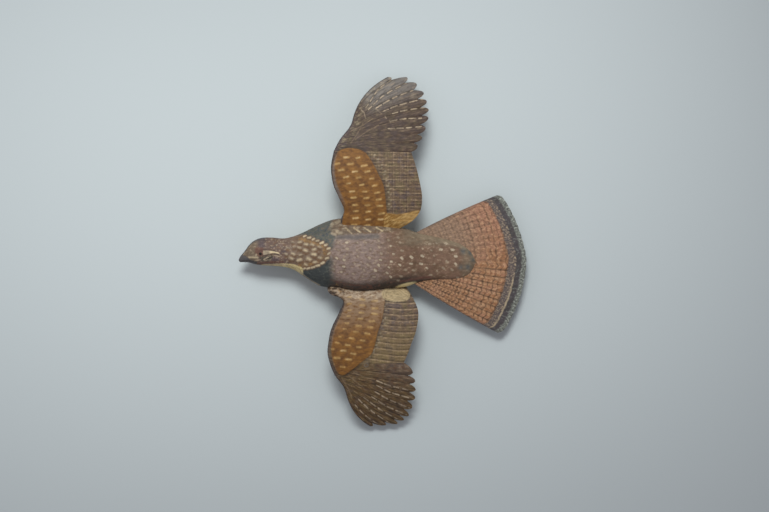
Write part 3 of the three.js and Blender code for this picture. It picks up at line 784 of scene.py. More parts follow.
def tail_place(sizes):
    """Gives the function that places a plate's vertices on the tail fan."""
    step = sizes.tail_step / MM
    arc = spline(TAIL_ARC, np.linspace(0, 1, 600))
    run = np.concatenate([[0], np.cumsum(np.hypot(*np.diff(arc, axis=0).T))])
    jitter = np.random.default_rng(5).uniform(-1, 1, (3, TAIL_FEATHERS + 1))

    def place(across, t, top):
        end = np.stack([np.interp(across * run[-1], run, arc[:, i]) for i in (0, 1)], axis=1)
        feather = across * TAIL_FEATHERS
        index = np.minimum(np.floor(feather + 1e-6), TAIL_FEATHERS).astype(int)
        fraction = np.maximum(feather - index, 0)
        end[:, 0] -= TAIL_SCALLOP * np.abs(2 * fraction - 1) ** 2
        start_y = lerp(TAIL_ROOT["right"], TAIL_ROOT["left"], across)
        x = lerp(TAIL_ROOT["x"], end[:, 0], t)
        y = lerp(start_y, end[:, 1], t)
        y += lerp(TAIL_BOW["right"], TAIL_BOW["left"], across) * 4 * t * (1 - t)
        length = np.hypot(end[:, 0] - TAIL_ROOT["x"], end[:, 1] - start_y)
        droop = TAIL_DROOP * (x - TAIL_ROOT["x"]) + TAIL_DOME * (y - TAIL_AXIS_Y) ** 2 * t
        half = lerp(TAIL_THICKNESS["root"], TAIL_THICKNESS["tip"], t) / 2
        web = lerp(TAIL_ROOT_WIDTH, run[-1], t) / TAIL_FEATHERS
        outer = np.where(feather < TAIL_FEATHERS / 2, 1 - fraction, fraction)
        relief = (0.06 * (1 - (2 * fraction - 1) ** 2) + step * outer) * np.minimum(1, t * 2)
        on_top = top > 0.5
        rim = (1 - t) * length
        where = np.stack([x, y, TAIL_ROOT["z"] - droop + np.where(on_top, half + relief, -half)], axis=1)
        # Lines run between the feathers in the lower half, and along their middles in the upper half
        settled = feather + 0.5 * smooth_step(10.0, 7.5, feather)
        line = settled - np.round(settled)
        drift = 0.62 * np.maximum(8.6 - feather, 0)
        bow = (1.0 + 0.7 * jitter[1, index]) * (4 * line**2 - 0.4)
        wave = 0.4 * jitter[0, index] + bow + 0.9 * jitter[2, index] * line
        bars = np.interp(rim + drift + wave, TAIL_BARS, np.arange(len(TAIL_BARS)))
        pitch = np.interp(rim + drift, TAIL_BARS[:-1], np.diff(TAIL_BARS))
        fields = {
            "upper": np.where(on_top, 1.0, 0.0),
            "lay": np.stack([rim, feather * TAIL_FEATHER_LAY, 0 * x], axis=1),
            "rim": rim,
            "feather": feather,
            "line": line * web,
            "bar": (bars - np.round(bars)) * pitch,
            "half_bar": (bars - np.floor(bars) - 0.5) * pitch,
        }
        return where, fields

    return place


def body_place(v_share, angle):
    """Places the vertices of the body's rings and works out their paint fields."""
    curves = (RIGHT_EDGE, LEFT_EDGE, BACK, BELLY, WIDEST)
    right, left, back, belly, widest = (curve_through(points) for points in curves)
    x = BEAK_TIP + np.interp(v_share, (0, HEAD_SHARE, 1), (0, HEAD_LENGTH, BODY_END - BEAK_TIP))
    across, up = (np.sign(f(angle)) * np.abs(f(angle)) ** (2 / BODY_SQUARENESS) for f in (np.cos, np.sin))
    cap = np.sqrt(np.maximum(1 - (1 - np.minimum(v_share / BEAK_CAP, 1)) ** 2, 0))
    cap *= np.sqrt(np.maximum(1 - (1 - np.minimum((1 - v_share) / RUMP_CAP, 1)) ** 2, 0))
    y = (right(x) + left(x)) / 2 + (right(x) - left(x)) / 2 * across * cap
    rise = np.where(up > 0, back(x) - widest(x), widest(x) - belly(x))
    z = widest(x) + rise * up * cap
    over = smooth_step(-0.1, 0.25, up)
    along, beside = (x - SLIVER["x"]) / SLIVER["length"], (y - left(x)) / SLIVER["width"]
    sliver = np.exp(-(along**2) - beside**2)
    y -= SLIVER["pull"] * sliver * smooth_step(-0.9, 0.3, up)
    solid_x, solid_y = x, y
    x, y = seen_from_above(x, y, z)

    draw = np.random.default_rng(11)
    dabs = {**DABS, "tips": [], "bright": [], "faint": []}
    for cx, cy in CAPE_TIPS:
        size = draw.uniform(0.8, 1.15)
        dabs["tips"].append((cx - 0.3, cy, 1.6 * size, 0.7 * size, draw.uniform(4, 34)))
    dabs["halo"] = [(cx - 2.8, cy * 0.8 - 0.2, 2.2, 1.4, -2.0 * cy) for cx, cy in CAPE_TIPS]
    dabs["neck"] = [(cx, cy, 2.1 * size, 1.2 * size, draw.uniform(-30, 20)) for cx, cy, size in CAPE_SPOTS]
    dabs["shadows"] = [(cx + 0.2, cy - 1.9, 2.4 * size, 0.9, -8) for cx, cy, size in CAPE_SPOTS]
    for cx, cy, size in BACK_SPOTS:
        lean = draw.uniform(-50, 0)
        if size < FAINT_SPOT:
            dabs["faint"].append((cx, cy, 1.3 * size + 0.5, 0.8 * size + 0.35, lean))
        else:
            dabs["bright"].append((cx, cy, 1.4 * size, 0.8 * size, lean))
    fields = {
        "over": over,
        "flank": solid_y - left(solid_x),
        "brink": right(solid_x) - solid_y,
        "sliver": sliver,
        "eye": EYE_RADIUS - np.hypot(x - EYE[0], y - EYE[1]),
        "back_end": BODY_END - x,
        **{name: depth_inside(corners, x, y) for name, corners in OUTLINES.items()},
        **{name: lines_depth(lines, x, y) for name, lines in LINES.items()},
        **{name: dab_depth(spots, x, y) for name, spots in dabs.items()},
    }
    fields = {name: np.clip(values, -12, 12) for name, values in fields.items()}
    cape = np.maximum(fields["cape"], fields["tips"])
    relief = 0.3 * smooth_step(-0.4, 0.4, cape) * smooth_step(-64, -52, x)
    relief += 0.18 * smooth_step(-0.3, 0.6, fields["neck"]) + 0.12 * smooth_step(-0.2, 0.5, fields["tips"])
    relief += 0.15 * smooth_step(-0.6, 0.8, np.maximum(fields["right_ruff"], fields["left_ruff"]))
    relief += 0.1 * smooth_step(-0.2, 0.4, fields["strokes"])
    relief -= 0.25 * smooth_step(-0.5, 0.5, fields["beak"])
    relief += 0.15 * smooth_step(-0.3, 0.3, fields["brow"])
    relief += 0.35 * smooth_step(-0.6, 0.8, fields["eye"])
    where = np.stack([solid_x, solid_y, np.maximum(z + relief * over * cap, 0)], axis=1)
    return where, fields


def carve_body():
    """The body: a ball of rings stretched from the beak's tip to the end of the tail coverts."""
    bm = bmesh.new()
    bmesh.ops.create_uvsphere(bm, u_segments=BODY_SIDES, v_segments=BODY_RINGS, radius=1)

    def place(x, y, z):
        return body_place(1 - np.arccos(np.clip(z, -1, 1)) / math.pi, np.arctan2(y, x))

    return finish_piece("carved_body", bm, place, ["body"])


def add(tree, kind, inputs=(), output=0, **settings):
    """Adds a node with its settings, sets or links its inputs, and gives one of its outputs."""
    node = tree.nodes.new("ShaderNode" + kind)
    for name, value in settings.items():
        setattr(node, name, value)
    for name, value in inputs.items() if isinstance(inputs, dict) else enumerate(inputs):
        if isinstance(value, bpy.types.NodeSocket):
            tree.links.new(value, node.inputs[name])
        else:
            node.inputs[name].default_value = value
    return node.outputs[output] if len(node.outputs) else node


class Paintwork:
    """Thin coats of acrylic brushed on basswood, each masked by the fields that the piece carries.

    They give a nearly matt surface, whose fine streaks show mainly as lighter and darker colour.
    """

    def __init__(self, name, paints, ground):
        self.paints = paints
        self.material = bpy.data.materials.new(name)
        self.material.use_nodes = True
        self.tree = self.material.node_tree
        self.tree.nodes.clear()
        place = add(self.tree, "TexCoord", output="Object")
        self.place = add(self.tree, "VectorMath", {0: place, "Scale": 1 / MM}, operation="SCALE")
        # A small brush's marks are some 0.2 mm wide, and are drawn as coarse as a picture can show
        self.brush = self.clouds(1.1, self.place, detail=2)
        self.patches = self.clouds(3.2, self.place, detail=1, seed=9.0)
        self.colour = add(self.tree, "RGB")
        self.colour.default_value = getattr(paints, ground)

    def clouds(self, size, along, stretch=(1, 1, 1), detail=3, seed=0):
        """Cloudy variation round a half, in patches of about size millimetres before they are stretched."""
        thin = tuple(1 / s for s in stretch)
        shift = (seed, 1.7 * seed, 0.0)
        at = add(self.tree, "VectorMath", (along, thin, shift), operation="MULTIPLY_ADD")
        inputs = {"Vector": at, "Scale": 1 / size, "Detail": detail, "Roughness": 0.6}
        return add(self.tree, "TexNoise", inputs)

    def cover(self, field, low, high, peak=1.0, ragged=0.0, patchy=0.0, within=1.0):
        """How thickly paint lies: none where the field is at low, and the peak where it is at high."""
        if isinstance(field, str):
            field = add(self.tree, "Attribute", output="Fac", attribute_name=field)
        if ragged:
            rough = add(self.tree, "Math", (self.brush, -0.5), operation="ADD")
            field = add(self.tree, "Math", (rough, 2 * ragged, field), operation="MULTIPLY_ADD")
        inputs = {"Value": field, "From Min": low, "From Max": high, "To Max": peak}
        laid = add(self.tree, "MapRange", inputs, output="Result", interpolation_type="SMOOTHSTEP")
        if patchy:
            inputs = {"Value": self.patches, "From Min": 0.42, "From Max": 0.58, "To Min": 1 - patchy}
            worn = add(self.tree, "MapRange", inputs, output="Result")
            laid = add(self.tree, "Math", (laid, worn), operation="MULTIPLY")
        return add(self.tree, "Math", (laid, within), operation="MULTIPLY")

    def coat(self, paint, field, low, high, peak=1.0, **how):
        """Lays a coat of paint over what is there."""
        cover = self.cover(field, low, high, peak, **how)
        inputs = {0: cover, 6: self.colour, 7: getattr(self.paints, paint)}
        self.colour = add(self.tree, "Mix", inputs, output=2, data_type="RGBA")

    def shade(self, variation, low, high):
        """Darkens and lightens the coats below as the variation goes."""
        inputs = {"Value": variation, "From Min": 0.35, "From Max": 0.65, "To Min": low, "To Max": high}
        factor = add(self.tree, "MapRange", inputs, output="Result")
        self.colour = add(self.tree, "VectorMath", {0: self.colour, "Scale": factor}, operation="SCALE")

    def finish(self, grain):
        """Gives the painted surface its brushed relief and its sheen."""
        height = add(self.tree, "Math", (grain, 1.5, self.brush), operation="MULTIPLY_ADD")
        normal = add(self.tree, "Bump", {"Height": height, "Distance": 0.1 * MM, "Strength": 0.4})
        inputs = {"Base Color": self.colour, "Roughness": 0.65, "Specular IOR Level": 0.3, "Normal": normal}
        add(self.tree, "OutputMaterial", {"Surface": add(self.tree, "BsdfPrincipled", inputs)})
        return self.material


def painted_wing(wing, paints):
    """Painted basswood of a wing, from its soft grey edges to the cream dashes."""
    right = wing["side"] > 0
    work = Paintwork(f"painted_basswood_{wing['name']}", paints, "secondaries")
    tree, coat, cover = work.tree, work.coat, work.cover
    lay = add(tree, "Attribute", output="Vector", attribute_name="lay")
    streak = work.clouds(1.3, lay, (6, 1, 1))
    strokes = work.clouds(1.9, lay, (2.2, 1, 1), detail=4, seed=4.0)
    mottle = work.clouds(6.0, work.place, seed=3.1)
    flecks = work.clouds(2.0, work.place, (1.6, 1, 1), detail=2, seed=8.0)

    # The inner flight feathers: dark and pale lines crossed by fine bars
    pitch, start = wing["bar"]
    rows = add(tree, "Attribute", output="Fac", attribute_name="rows")
    place_x = add(tree, "SeparateXYZ", (work.place,))
    bars = add(tree, "Math", (place_x, 1 / pitch, -start / pitch), operation="MULTIPLY_ADD")
    half_rows = add(tree, "Math", (rows, 2.0), operation="MULTIPLY")
    fine_bars = add(tree, "Math", (bars, 2.6), operation="MULTIPLY")
    row, half_row, bar, fine_bar = (
        add(tree, "Math", (count,), operation="FRACT") for count in (rows, half_rows, bars, fine_bars)
    )
    coat("olive", mottle, 0.5, 0.62, 0.45)
    coat("violet", mottle, 0.48, 0.38, 0.5)
    coat("dark_lines", strokes, 0.46, 0.34, 0.4)
    coat("pale_lines", strokes, 0.55, 0.68, 0.4)
    if right:
        coat("dark_lines", row, 0.72, 0.95, 0.35, ragged=0.16, patchy=0.6)
        coat("dark_lines", half_row, 0.66, 0.98, 0.5, ragged=0.2, patchy=0.7)
        coat("pale_lines", row, 0.3, 0.08, 0.3, ragged=0.2, patchy=0.7)
        coat("pale_lines", half_row, 0.36, 0.12, 0.42, ragged=0.2, patchy=0.8)
        coat("dark_lines", bar, 0.8, 0.92, 0.3, ragged=0.14, patchy=0.8)
        coat("dark_lines", fine_bar, 0.6, 0.9, 0.3, ragged=0.2, patchy=1.0)
        coat("pale_lines", bar, 0.2, 0.04, 0.26, ragged=0.2, patchy=0.8)
    else:
        coat("olive", "out", 52, 70, 0.35)
        coat("tertial_streaks", "out", 48, 70, 0.12)
        coat("dark_lines", row, 0.5, 0.95, 0.52, ragged=0.16, patchy=0.4)
        coat("dark_lines", half_row, 0.72, 0.98, 0.25, ragged=0.2, patchy=0.8)
        coat("dark_lines", fine_bar, 0.6, 0.9, 0.2, ragged=0.2, patchy=1.0)
        coat("pale_lines", row, 0.34, 0.08, 0.6, ragged=0.18, patchy=0.5)
        coat("pale_lines", half_row, 0.34, 0.14, 0.2, ragged=0.25, patchy=0.8)
        coat("pale_lines", bar, 0.2, 0.06, 0.15, ragged=0.14, patchy=0.8)

    # The outer flight feathers
    on_hand = cover("hand", -0.2, 0.2)
    base = cover("reach", 0.45, 0.1, within=on_hand)
    coat("primaries" if right else "primaries_warm", "hand", -0.2, 0.2)
    coat("olive", mottle, 0.5, 0.6, 0.18, within=on_hand)
    coat("violet", mottle, 0.47, 0.38, 0.2, within=on_hand)
    coat("olive", flecks, 0.5, 0.6, 0.35, within=base)
    coat("violet", flecks, 0.44, 0.36, 0.3, within=base)
    if right:
        # Right wing only: the outer primaries greyed with the leading edge's grey are partly their own
        # paler grey, partly a painted sheen where this wing tilts towards the light
        grey = cover("feather", 5.0, 8.5, 0.8, ragged=1.2, within=on_hand)
        coat("lead", "reach", 0.3, 0.6, within=grey)
        near_lead = cover("lead", 7.0, 3.5, 0.32, ragged=1.2, within=on_hand)
        coat("beads", flecks, 0.44, 0.6, within=near_lead)
    coat("dark_lines", strokes, 0.48, 0.34, 0.3 if right else 0.5, within=on_hand)
    coat("pale_lines", strokes, 0.54, 0.7, 0.15 if right else 0.35, within=on_hand)
    coat("pale_lines", streak, 0.54, 0.7, 0.35 if right else 0.55, within=on_hand)
    coat("dark_lines", streak, 0.46, 0.34, 0.4 if right else 0.5, within=on_hand)
    if not right:
        coat("violet", "feather", 3.4, 0.6, 0.3, ragged=0.6, within=cover("reach", 0.4, 0.8))
        coat("covert_lines", flecks, 0.52, 0.64, 0.4, within=on_hand)
    coat("dark_lines", "web_gap", 0.55, 0.12, 0.55, ragged=0.2, patchy=0.4, within=on_hand)
    coat("pale_lines", "shafts", -0.3, 0.3, 0.35, ragged=0.4, patchy=0.5)
    coat("dark_lines", "quill", -1.0, -0.3, 0.35, ragged=0.5)
    coat("marks", "quill", -0.32, 0.3, 0.7, ragged=0.4, patchy=0.45)
    coat("marks" if right else "lead", "specks", -0.2, 0.3, 0.4, ragged=0.5, patchy=0.6)

    # The soft grey leading edge
    coat("violet", "lead", 2.6, 1.0, 0.5, ragged=0.6, within=cover("out", 96, 86))
    coat("edge", "lead", 1.1, 0.2, 0.55, ragged=0.3)

    # The coverts: golden scales, each with a cream dash near its tip
    on_coverts = cover("coverts", -0.3, 0.6, ragged=0.4)
    # Painted shade: a dark line just outside the raised coverts, along their carved edge
    coat("dark_lines", "coverts", -2.6, -0.3, 0.5, ragged=0.8, patchy=0.4)
    coat("beads", "beads", -0.3, 0.5, 0.45, ragged=0.6, patchy=0.5)
    coat("coverts", "coverts", -0.3, 0.6, 0.95, ragged=0.4)
    scales = add(tree, "Attribute", output="Fac", attribute_name="scale")
    scale = add(tree, "Math", (scales,), operation="FRACT")
    coat("covert_lines", mottle, 0.5, 0.36, 0.4, within=on_coverts)
    coat("covert_lines", strokes, 0.48, 0.34, 0.3, within=on_coverts)
    coat("covert_lines", "column", 0.28, 0.46, 0.35, ragged=0.12, patchy=0.5, within=on_coverts)
    # Painted shade: each covert darkens towards its root, under the tip of the covert that overlaps it
    coat("covert_lines", scale, 0.55, 0.98, 0.5, ragged=0.25, patchy=0.6, within=on_coverts)
    coat("tertials", strokes, 0.54, 0.7, 0.3, within=on_coverts)
    near_edge = cover("lead", 2.6, 1.0, 0.6, ragged=0.7, within=on_coverts)
    coat("violet", "out", 30, 44, 0.7, within=near_edge)
    coat("lead", "lead", 3.6, 1.6, 0.5, ragged=0.8, within=cover("out", 30, 44, within=on_coverts))
    if not right:
        pale = cover("out", 62, 40, 0.9, within=on_coverts)
        coat("coverts_pale", strokes, 0.36, 0.52, within=pale)
        root = cover("out", 39, 31, within=on_coverts)
        coat("coverts_pale", root, 0.1, 0.7)
        coat("root_pale", flecks, 0.38, 0.58, 0.8, within=root)
        coat("marks", strokes, 0.54, 0.66, 0.5, within=root)
        coat("covert_lines", strokes, 0.46, 0.34, 0.35, within=root)
        on_knob = cover("knob", 0.15, 0.5)
        coat("secondaries", on_knob, 0.0, 1.0, 0.7)
        coat("root_pale", flecks, 0.5, 0.6, 0.7, within=on_knob)
        coat("tertials", strokes, 0.52, 0.62, 0.5, within=on_knob)
        coat("dark_lines", flecks, 0.47, 0.38, 0.8, within=on_knob)
    coat("dashes", "dashes", -0.8, 0.2, 0.25, ragged=0.5, within=on_coverts)
    dashed = cover("dashes", -0.4, 0.45, 0.75 if right else 0.6, ragged=0.45, patchy=0.45)
    coat("dashes", dashed, 0.0, 1.0, within=on_coverts)
    coat("marks", dashed, 0.3, 1.0, 0.5, within=cover(mottle, 0.46, 0.54, within=on_coverts))

    # The innermost feathers
    outline = cover("upper", 0.4, 0.6, within=cover("coverts", 0.5, -0.5))
    coat("dark_lines", "tertials", -1.2, -0.1, 0.45, ragged=0.5, within=outline)
    coat("tertials" if right else "oval", "tertials", -0.8, 0.9, ragged=0.9)
    on_tertials = cover("tertials", 0.1, 0.6)
    if right:
        turned = add(tree, "VectorRotate", {"Vector": work.place, "Angle": -0.6})
        rays = work.clouds(1.6, turned, (3, 1, 1), seed=2.0)
        rim = cover(place_x, 4, 20, within=on_tertials)
        coat("tertial_streaks", rim, 0.0, 1.0, 0.4)
        coat("tertial_streaks", rays, 0.48, 0.62, 0.6, within=on_tertials)
        coat("coverts", rays, 0.46, 0.36, 0.45, within=on_tertials)
    else:
        inside = add(tree, "Attribute", output="Fac", attribute_name="tertials")
        swirl = add(tree, "Math", (mottle, 4.0, inside), operation="MULTIPLY_ADD")
        turns = add(tree, "Math", (swirl, 0.62), operation="MULTIPLY")
        rings = add(tree, "Math", (turns, 0.5), operation="PINGPONG")
        coat("oval_lines", rings, 0.24, 0.02, 0.6, ragged=0.1, patchy=0.4, within=on_tertials)
        coat("dashes", rings, 0.34, 0.48, 0.35, patchy=0.6, within=on_tertials)
        coat("oval_lines", strokes, 0.47, 0.36, 0.3, within=on_tertials)

    work.shade(strokes, 0.84, 1.16)
    work.shade(mottle, 0.92, 1.08)
    coat("under", "upper", 0.6, 0.2, 0.8)
    return work.finish(streak)


def painted_tail(paints):
    """Painted basswood of the tail: rufous bars inside a dark band."""
    work = Paintwork("painted_basswood_tail", paints, "rufous")
    tree, coat, cover = work.tree, work.coat, work.cover
    lay = add(tree, "Attribute", output="Vector", attribute_name="lay")
    streak = work.clouds(1.2, lay, (5, 1, 1))
    strokes = work.clouds(1.8, lay, (1.4, 1, 1), detail=3, seed=4.0)
    specks = work.clouds(1.15, lay, (1.3, 1, 1), detail=2, seed=6.0)
    mottle = work.clouds(8.0, work.place, seed=5.3)
    feather = add(tree, "Attribute", output="Fac", attribute_name="feather")
    rim = add(tree, "Attribute", output="Fac", attribute_name="rim")
    lower = cover("feather", 7.0, 11.5)
    root = cover("feather", 10.5, 5.5, ragged=1.0)

    # Orange brown with darker bars and feather lines, greyer near the rump
    # The upper half, which tilts towards the light, is paler pink brown: partly the tail's own tone, partly
    # a painted sheen
    coat("pink_and_sheen", "feather", 9.0, 3.0, 0.8, ragged=1.0)
    coat("pink_and_sheen", mottle, 0.54, 0.42, 0.6)
    coat("greyed", mottle, 0.56, 0.68, 0.4)
    work.shade(streak, 0.9, 1.1)
    coat("greyed", "rim", 16, 54, ragged=4.0, within=root)
    coat("pale", strokes, 0.52, 0.64, 0.45)
    coat("bars", strokes, 0.46, 0.34, 0.3)
    coat("pale", "line", -1.3, -0.6, 0.35, ragged=0.3, patchy=0.5, within=lower)
    coat("pale", "bar", -1.6, -0.6, 0.4, ragged=0.4, patchy=0.5, within=cover("bar", 0, -0.5))
    half_lines = cover("half_bar", 0.8, 0.2, within=cover("feather", 11.0, 14.0, 0.6))
    coat("bars", "half_bar", -0.8, -0.2, ragged=0.5, patchy=0.6, within=half_lines)
    half_bars = cover("half_bar", 0.8, 0.1)
    coat("bars", "half_bar", -0.8, -0.1, 0.45, ragged=0.6, patchy=0.8, within=half_bars)
    on_bar = cover("bar", 1.2, 0.2)
    coat("bars", "bar", -1.2, -0.2, 0.6, ragged=0.6, patchy=0.6, within=on_bar)
    on_line = cover("line", 0.9, 0.2)
    coat("bars", "line", -0.9, -0.2, 0.35, ragged=0.5, patchy=0.6, within=on_line)
    low_line = cover(lower, 0.2, 0.9, within=on_line)
    coat("bars", "line", -0.9, -0.2, 0.5, ragged=0.4, patchy=0.5, within=low_line)
    coat("greyed", "rim", 20, 56, 0.4, ragged=6.0, within=root)

    # The bands run a little further in towards the lower half
    lowered = add(tree, "Math", (feather, 11.0), operation="MINIMUM")
    spread = add(tree, "Math", (lowered, -0.17, rim), operation="MULTIPLY_ADD")
    coat("bars", spread, 12.8, 11.8, 0.5, ragged=0.8, patchy=0.4)
    coat("mottle", spread, 11.8, 10.8, ragged=1.0)
    on_mottle = cover(spread, 12.2, 11.2, ragged=0.6)
    coat("band", specks, 0.52, 0.42, 0.7, within=on_mottle)
    coat("violet", mottle, 0.44, 0.56, 0.4, within=on_mottle)
    coat("line", specks, 0.53, 0.66, 0.5, within=on_mottle)
    coat("band", "rim", 7.9, 6.9, 0.92, ragged=0.6)
    coat("violet", mottle, 0.44, 0.56, 0.5, within=cover("rim", 7.9, 6.9, ragged=0.6))
    outside = cover("rim", 9.0, 8.3, ragged=0.4)
    on_cream = cover("rim", 7.0, 7.7, ragged=0.4, within=outside)
    coat("line", "feather", 9.5, 12.5, 0.8, patchy=0.4, within=on_cream)
    coat("line", specks, 0.5, 0.6, 0.45, within=on_cream)
    near_tip = cover("rim", 4.4, 2.2, ragged=0.8)
    coat("tip", near_tip, 0.0, 1.0, 0.6)
    coat("tip_specks", specks, 0.53, 0.64, 0.6, within=near_tip)
    coat("band", specks, 0.48, 0.38, 0.8, within=near_tip)
    coat("tip", strokes, 0.55, 0.68, 0.5, within=cover("rim", 8, 6))
    coat("band", "feather", 0.5, 0.1, 0.55, patchy=0.3)
    coat("band", "feather", 17.6, 17.95, 0.55, patchy=0.3)
    work.shade(strokes, 0.88, 1.12)
    coat("under", "upper", 0.6, 0.2, 0.8)
    return work.finish(streak)


def painted_body(paints):
    """Painted basswood of the body and head."""
    # The body's ground is the back's lilac brown, whose lilac grey is partly a painted sheen
    work = Paintwork("painted_basswood_body", paints, "back")
    tree, coat, cover = work.tree, work.coat, work.cover
    mottle = work.clouds(6.0, work.place, (1.6, 0.8, 1), seed=1.7)
    strokes = work.clouds(2.0, work.place, (1.6, 0.9, 1), detail=4, seed=2.2)
    flecks = work.clouds(2.0, work.place, (1.3, 0.9, 1), detail=1, seed=8.0)
    fine = work.clouds(1.5, work.place, detail=1, seed=3.0)
    x = add(tree, "SeparateXYZ", (work.place,))
    y = add(tree, "SeparateXYZ", (work.place,), output=1)

    # Back, rump and flank
    rump = cover(x, -16, 18, ragged=8)
    coat("rump", rump, 0.0, 1.0)
    coat("earth", mottle, 0.48, 0.36, 0.55, within=rump)
    coat("olive", y, 2.0, 7.0, 0.75, ragged=2.0, within=cover(x, 6, 20))
    coat("earth", flecks, 0.47, 0.36, 0.5)
    coat("nape", strokes, 0.55, 0.68, 0.4)
    # The dark band low on the flank is partly the flank's brown marks, partly painted shade on the side
    # turned from the light
    coat("flank", "flank", 9.2, 3.4, 0.9, ragged=2.0, within=cover(x, 36, 12))
    low = cover("flank", 6.5, 4.0, ragged=2.0, within=cover(x, 14, 4))
    coat("face", flecks, 0.47, 0.38, 0.7, within=low)
    coat("gold", flecks, 0.55, 0.64, 0.7, within=cover(x, -22, -34, within=low))
    # Painted shade: a dark rim along the lower edge, where the body turns from the light
    coat("flank", "flank", 2.2, 0.3, 0.8, ragged=0.5, within=cover(x, 44, 26))
    coat("earth", "faint", -1.2, 0.1, 0.35, ragged=0.5)
    coat("spots", "faint", -0.4, 0.6, 0.42, ragged=0.6)
    coat("earth", "bright", -1.2, 0.0, 0.4, ragged=0.5)
    coat("spots", "bright", -0.4, 0.55, 0.9, ragged=0.55)
    coat("fringe", "brink", 5.0, 1.5, 0.85, ragged=1.5, within=cover(x, 14, 26))
    coat("olive", "back_end", 14.0, 8.0, 0.6, ragged=2.5)
    end = cover("back_end", 3.0, 0.6, 0.6, ragged=1.5)
    coat("earth", flecks, 0.44, 0.56, within=end)
    coat("ruff_light", "end_spots", -2.4, 0.4, 0.5, ragged=1.4)
    coat("slate", "end_spots", -0.4, 1.4, 0.5, ragged=1.4)

    # The strip beside the right wing and the ruffs
    coat("scapulars", "scapulars", -1.0, 1.0, ragged=0.9)
    on_strip = cover("scapulars", -0.4, 0.6)
    coat("earth", flecks, 0.48, 0.38, 0.7, within=on_strip)
    coat("nape", strokes, 0.52, 0.68, 0.4, within=on_strip)
    coat("ruff_light", "wing_line", -1.6, 1.0, 0.5, ragged=1.0)
    coat("violet", "wing_line", -0.8, 1.5, 0.4, ragged=0.8)
    coat("ruff_light", "right_ruff", -2.6, 1.4, 0.95, ragged=1.4)
    in_right_ruff = cover("right_ruff", -1, 1)
    coat("scapulars", strokes, 0.5, 0.64, 0.6, within=in_right_ruff)
    coat("slate", flecks, 0.48, 0.38, 0.6, within=in_right_ruff)
    coat("nape", "blotches", -1.0, 0.6, 0.6, ragged=0.9)
    coat("tips", "strokes", -0.4, 0.5, 0.6, ragged=0.6, patchy=0.4)
    # Painted shade: the left ruff, turned from the light, takes the ruff paint darkened
    coat("ruff_light", "left_ruff", -4.5, -0.5, 0.5, ragged=2.4)
    coat("ruff_shaded", "left_ruff", -2.4, 2.4, ragged=2.4)
    coat("ruff_light", flecks, 0.53, 0.66, 0.6, within=cover("left_ruff", 0.2, 1))

    # Crown, nape and cape
    coat("crown", x, -58, -66, ragged=4.0)
    on_head = cover(x, -56, -66)
    coat("earth", flecks, 0.47, 0.36, 0.6, within=on_head)
    coat("violet", mottle, 0.46, 0.36, 0.5, within=on_head)
    coat("nape", fine, 0.54, 0.66, 0.55, within=on_head)
    coat("cape", "cape", -0.8, 0.8, ragged=0.6, within=cover(x, -72, -60))
    on_cape = cover("cape", -0.3, 0.4, within=cover(x, -68, -58))
    coat("earth", flecks, 0.51, 0.4, 0.75, within=on_cape)
    coat("gold", "halo", -0.8, 1.0, 0.7, ragged=1.4, patchy=0.6, within=on_cape)
    coat("earth", "shadows", -0.8, 0.4, 0.75, ragged=0.5)
    coat("earth", "tips", -1.2, -0.3, 0.6, ragged=0.5)
    coat("nape", "tips", -0.5, 0.25, 0.9, ragged=0.4)
    coat("tips", "tips", 0.0, 0.7, 0.8, ragged=0.4, patchy=0.5)
    coat("nape", "neck", -0.7, 0.8, 0.75, ragged=0.7)
    coat("tips", "neck", 0.4, 1.1, 0.45, ragged=0.6)

    # Throat and face
    coat("violet", "violet", -1.6, 1.2, 0.65, ragged=0.8)
    coat("olive", x, -88, -93, 0.65, ragged=1.2)
    coat("olive", "culmen", -0.8, 1.2, 0.8, ragged=0.6)
    coat("nape", strokes, 0.52, 0.64, 0.3, within=cover(x, -90, -94))
    coat("slate", "brink", 1.6, 0.5, 0.7, ragged=0.4, within=cover(x, -82, -87))
    coat("cream", "throat", -0.6, 0.5, 0.92, ragged=0.6)
    coat("gold", flecks, 0.52, 0.62, 0.4, within=cover("throat", 0, 0.6))
    coat("earth", flecks, 0.46, 0.38, 0.35, within=cover("throat", 0, 0.6))
    coat("face", "red_lines", -0.7, 0.7, 0.85, ragged=0.7, patchy=0.4)
    coat("face", "face", -1.1, 0.8, 0.75, ragged=0.8)
    coat("beak", "beak", -0.5, 0.6, 0.9, ragged=0.3)
    coat("nape", "lores", -0.4, 0.5, 0.8, ragged=0.4)
    coat("tips", "lores", 0.3, 0.8, 0.5)
    coat("cheek", "cheek", -0.6, 0.8, 0.75, ragged=0.6)
    coat("nape", strokes, 0.56, 0.66, 0.45, within=cover("cheek", 0, 0.8))
    coat("violet", "ear_patch", -0.6, 0.6, 0.6, ragged=0.5)
    coat("nape", "brow", -0.35, 0.4, 0.85, ragged=0.35)
    coat("tips", x, -83, -80, 0.8, within=cover("brow", -0.1, 0.4, ragged=0.3))
    coat("eye", "dark_lines", -0.3, 0.3, 0.5, ragged=0.3, patchy=0.3)
    coat("nape", "pale_lines", -0.25, 0.3, 0.75, ragged=0.25, patchy=0.3)
    coat("eye", "eye", -0.3, 0.3)
    work.shade(strokes, 0.82, 1.18)
    work.shade(mottle, 0.9, 1.1)
    coat("cream", "sliver", 0.3, 0.6, 0.95, ragged=0.1)
    coat("belly", "over", 0.35, 0.05, 0.9)
    return work.finish(strokes)


class GROUSE_OT_body(bpy.types.Operator):
    """Carve and paint the body with its head and beak"""

    bl_idname = "grouse.body"
    bl_label = "Carve Body"

    def execute(self, context):
        piece = carve_body()
        piece.data.materials.append(painted_body(context.scene.grouse_body))
        return {"FINISHED"}


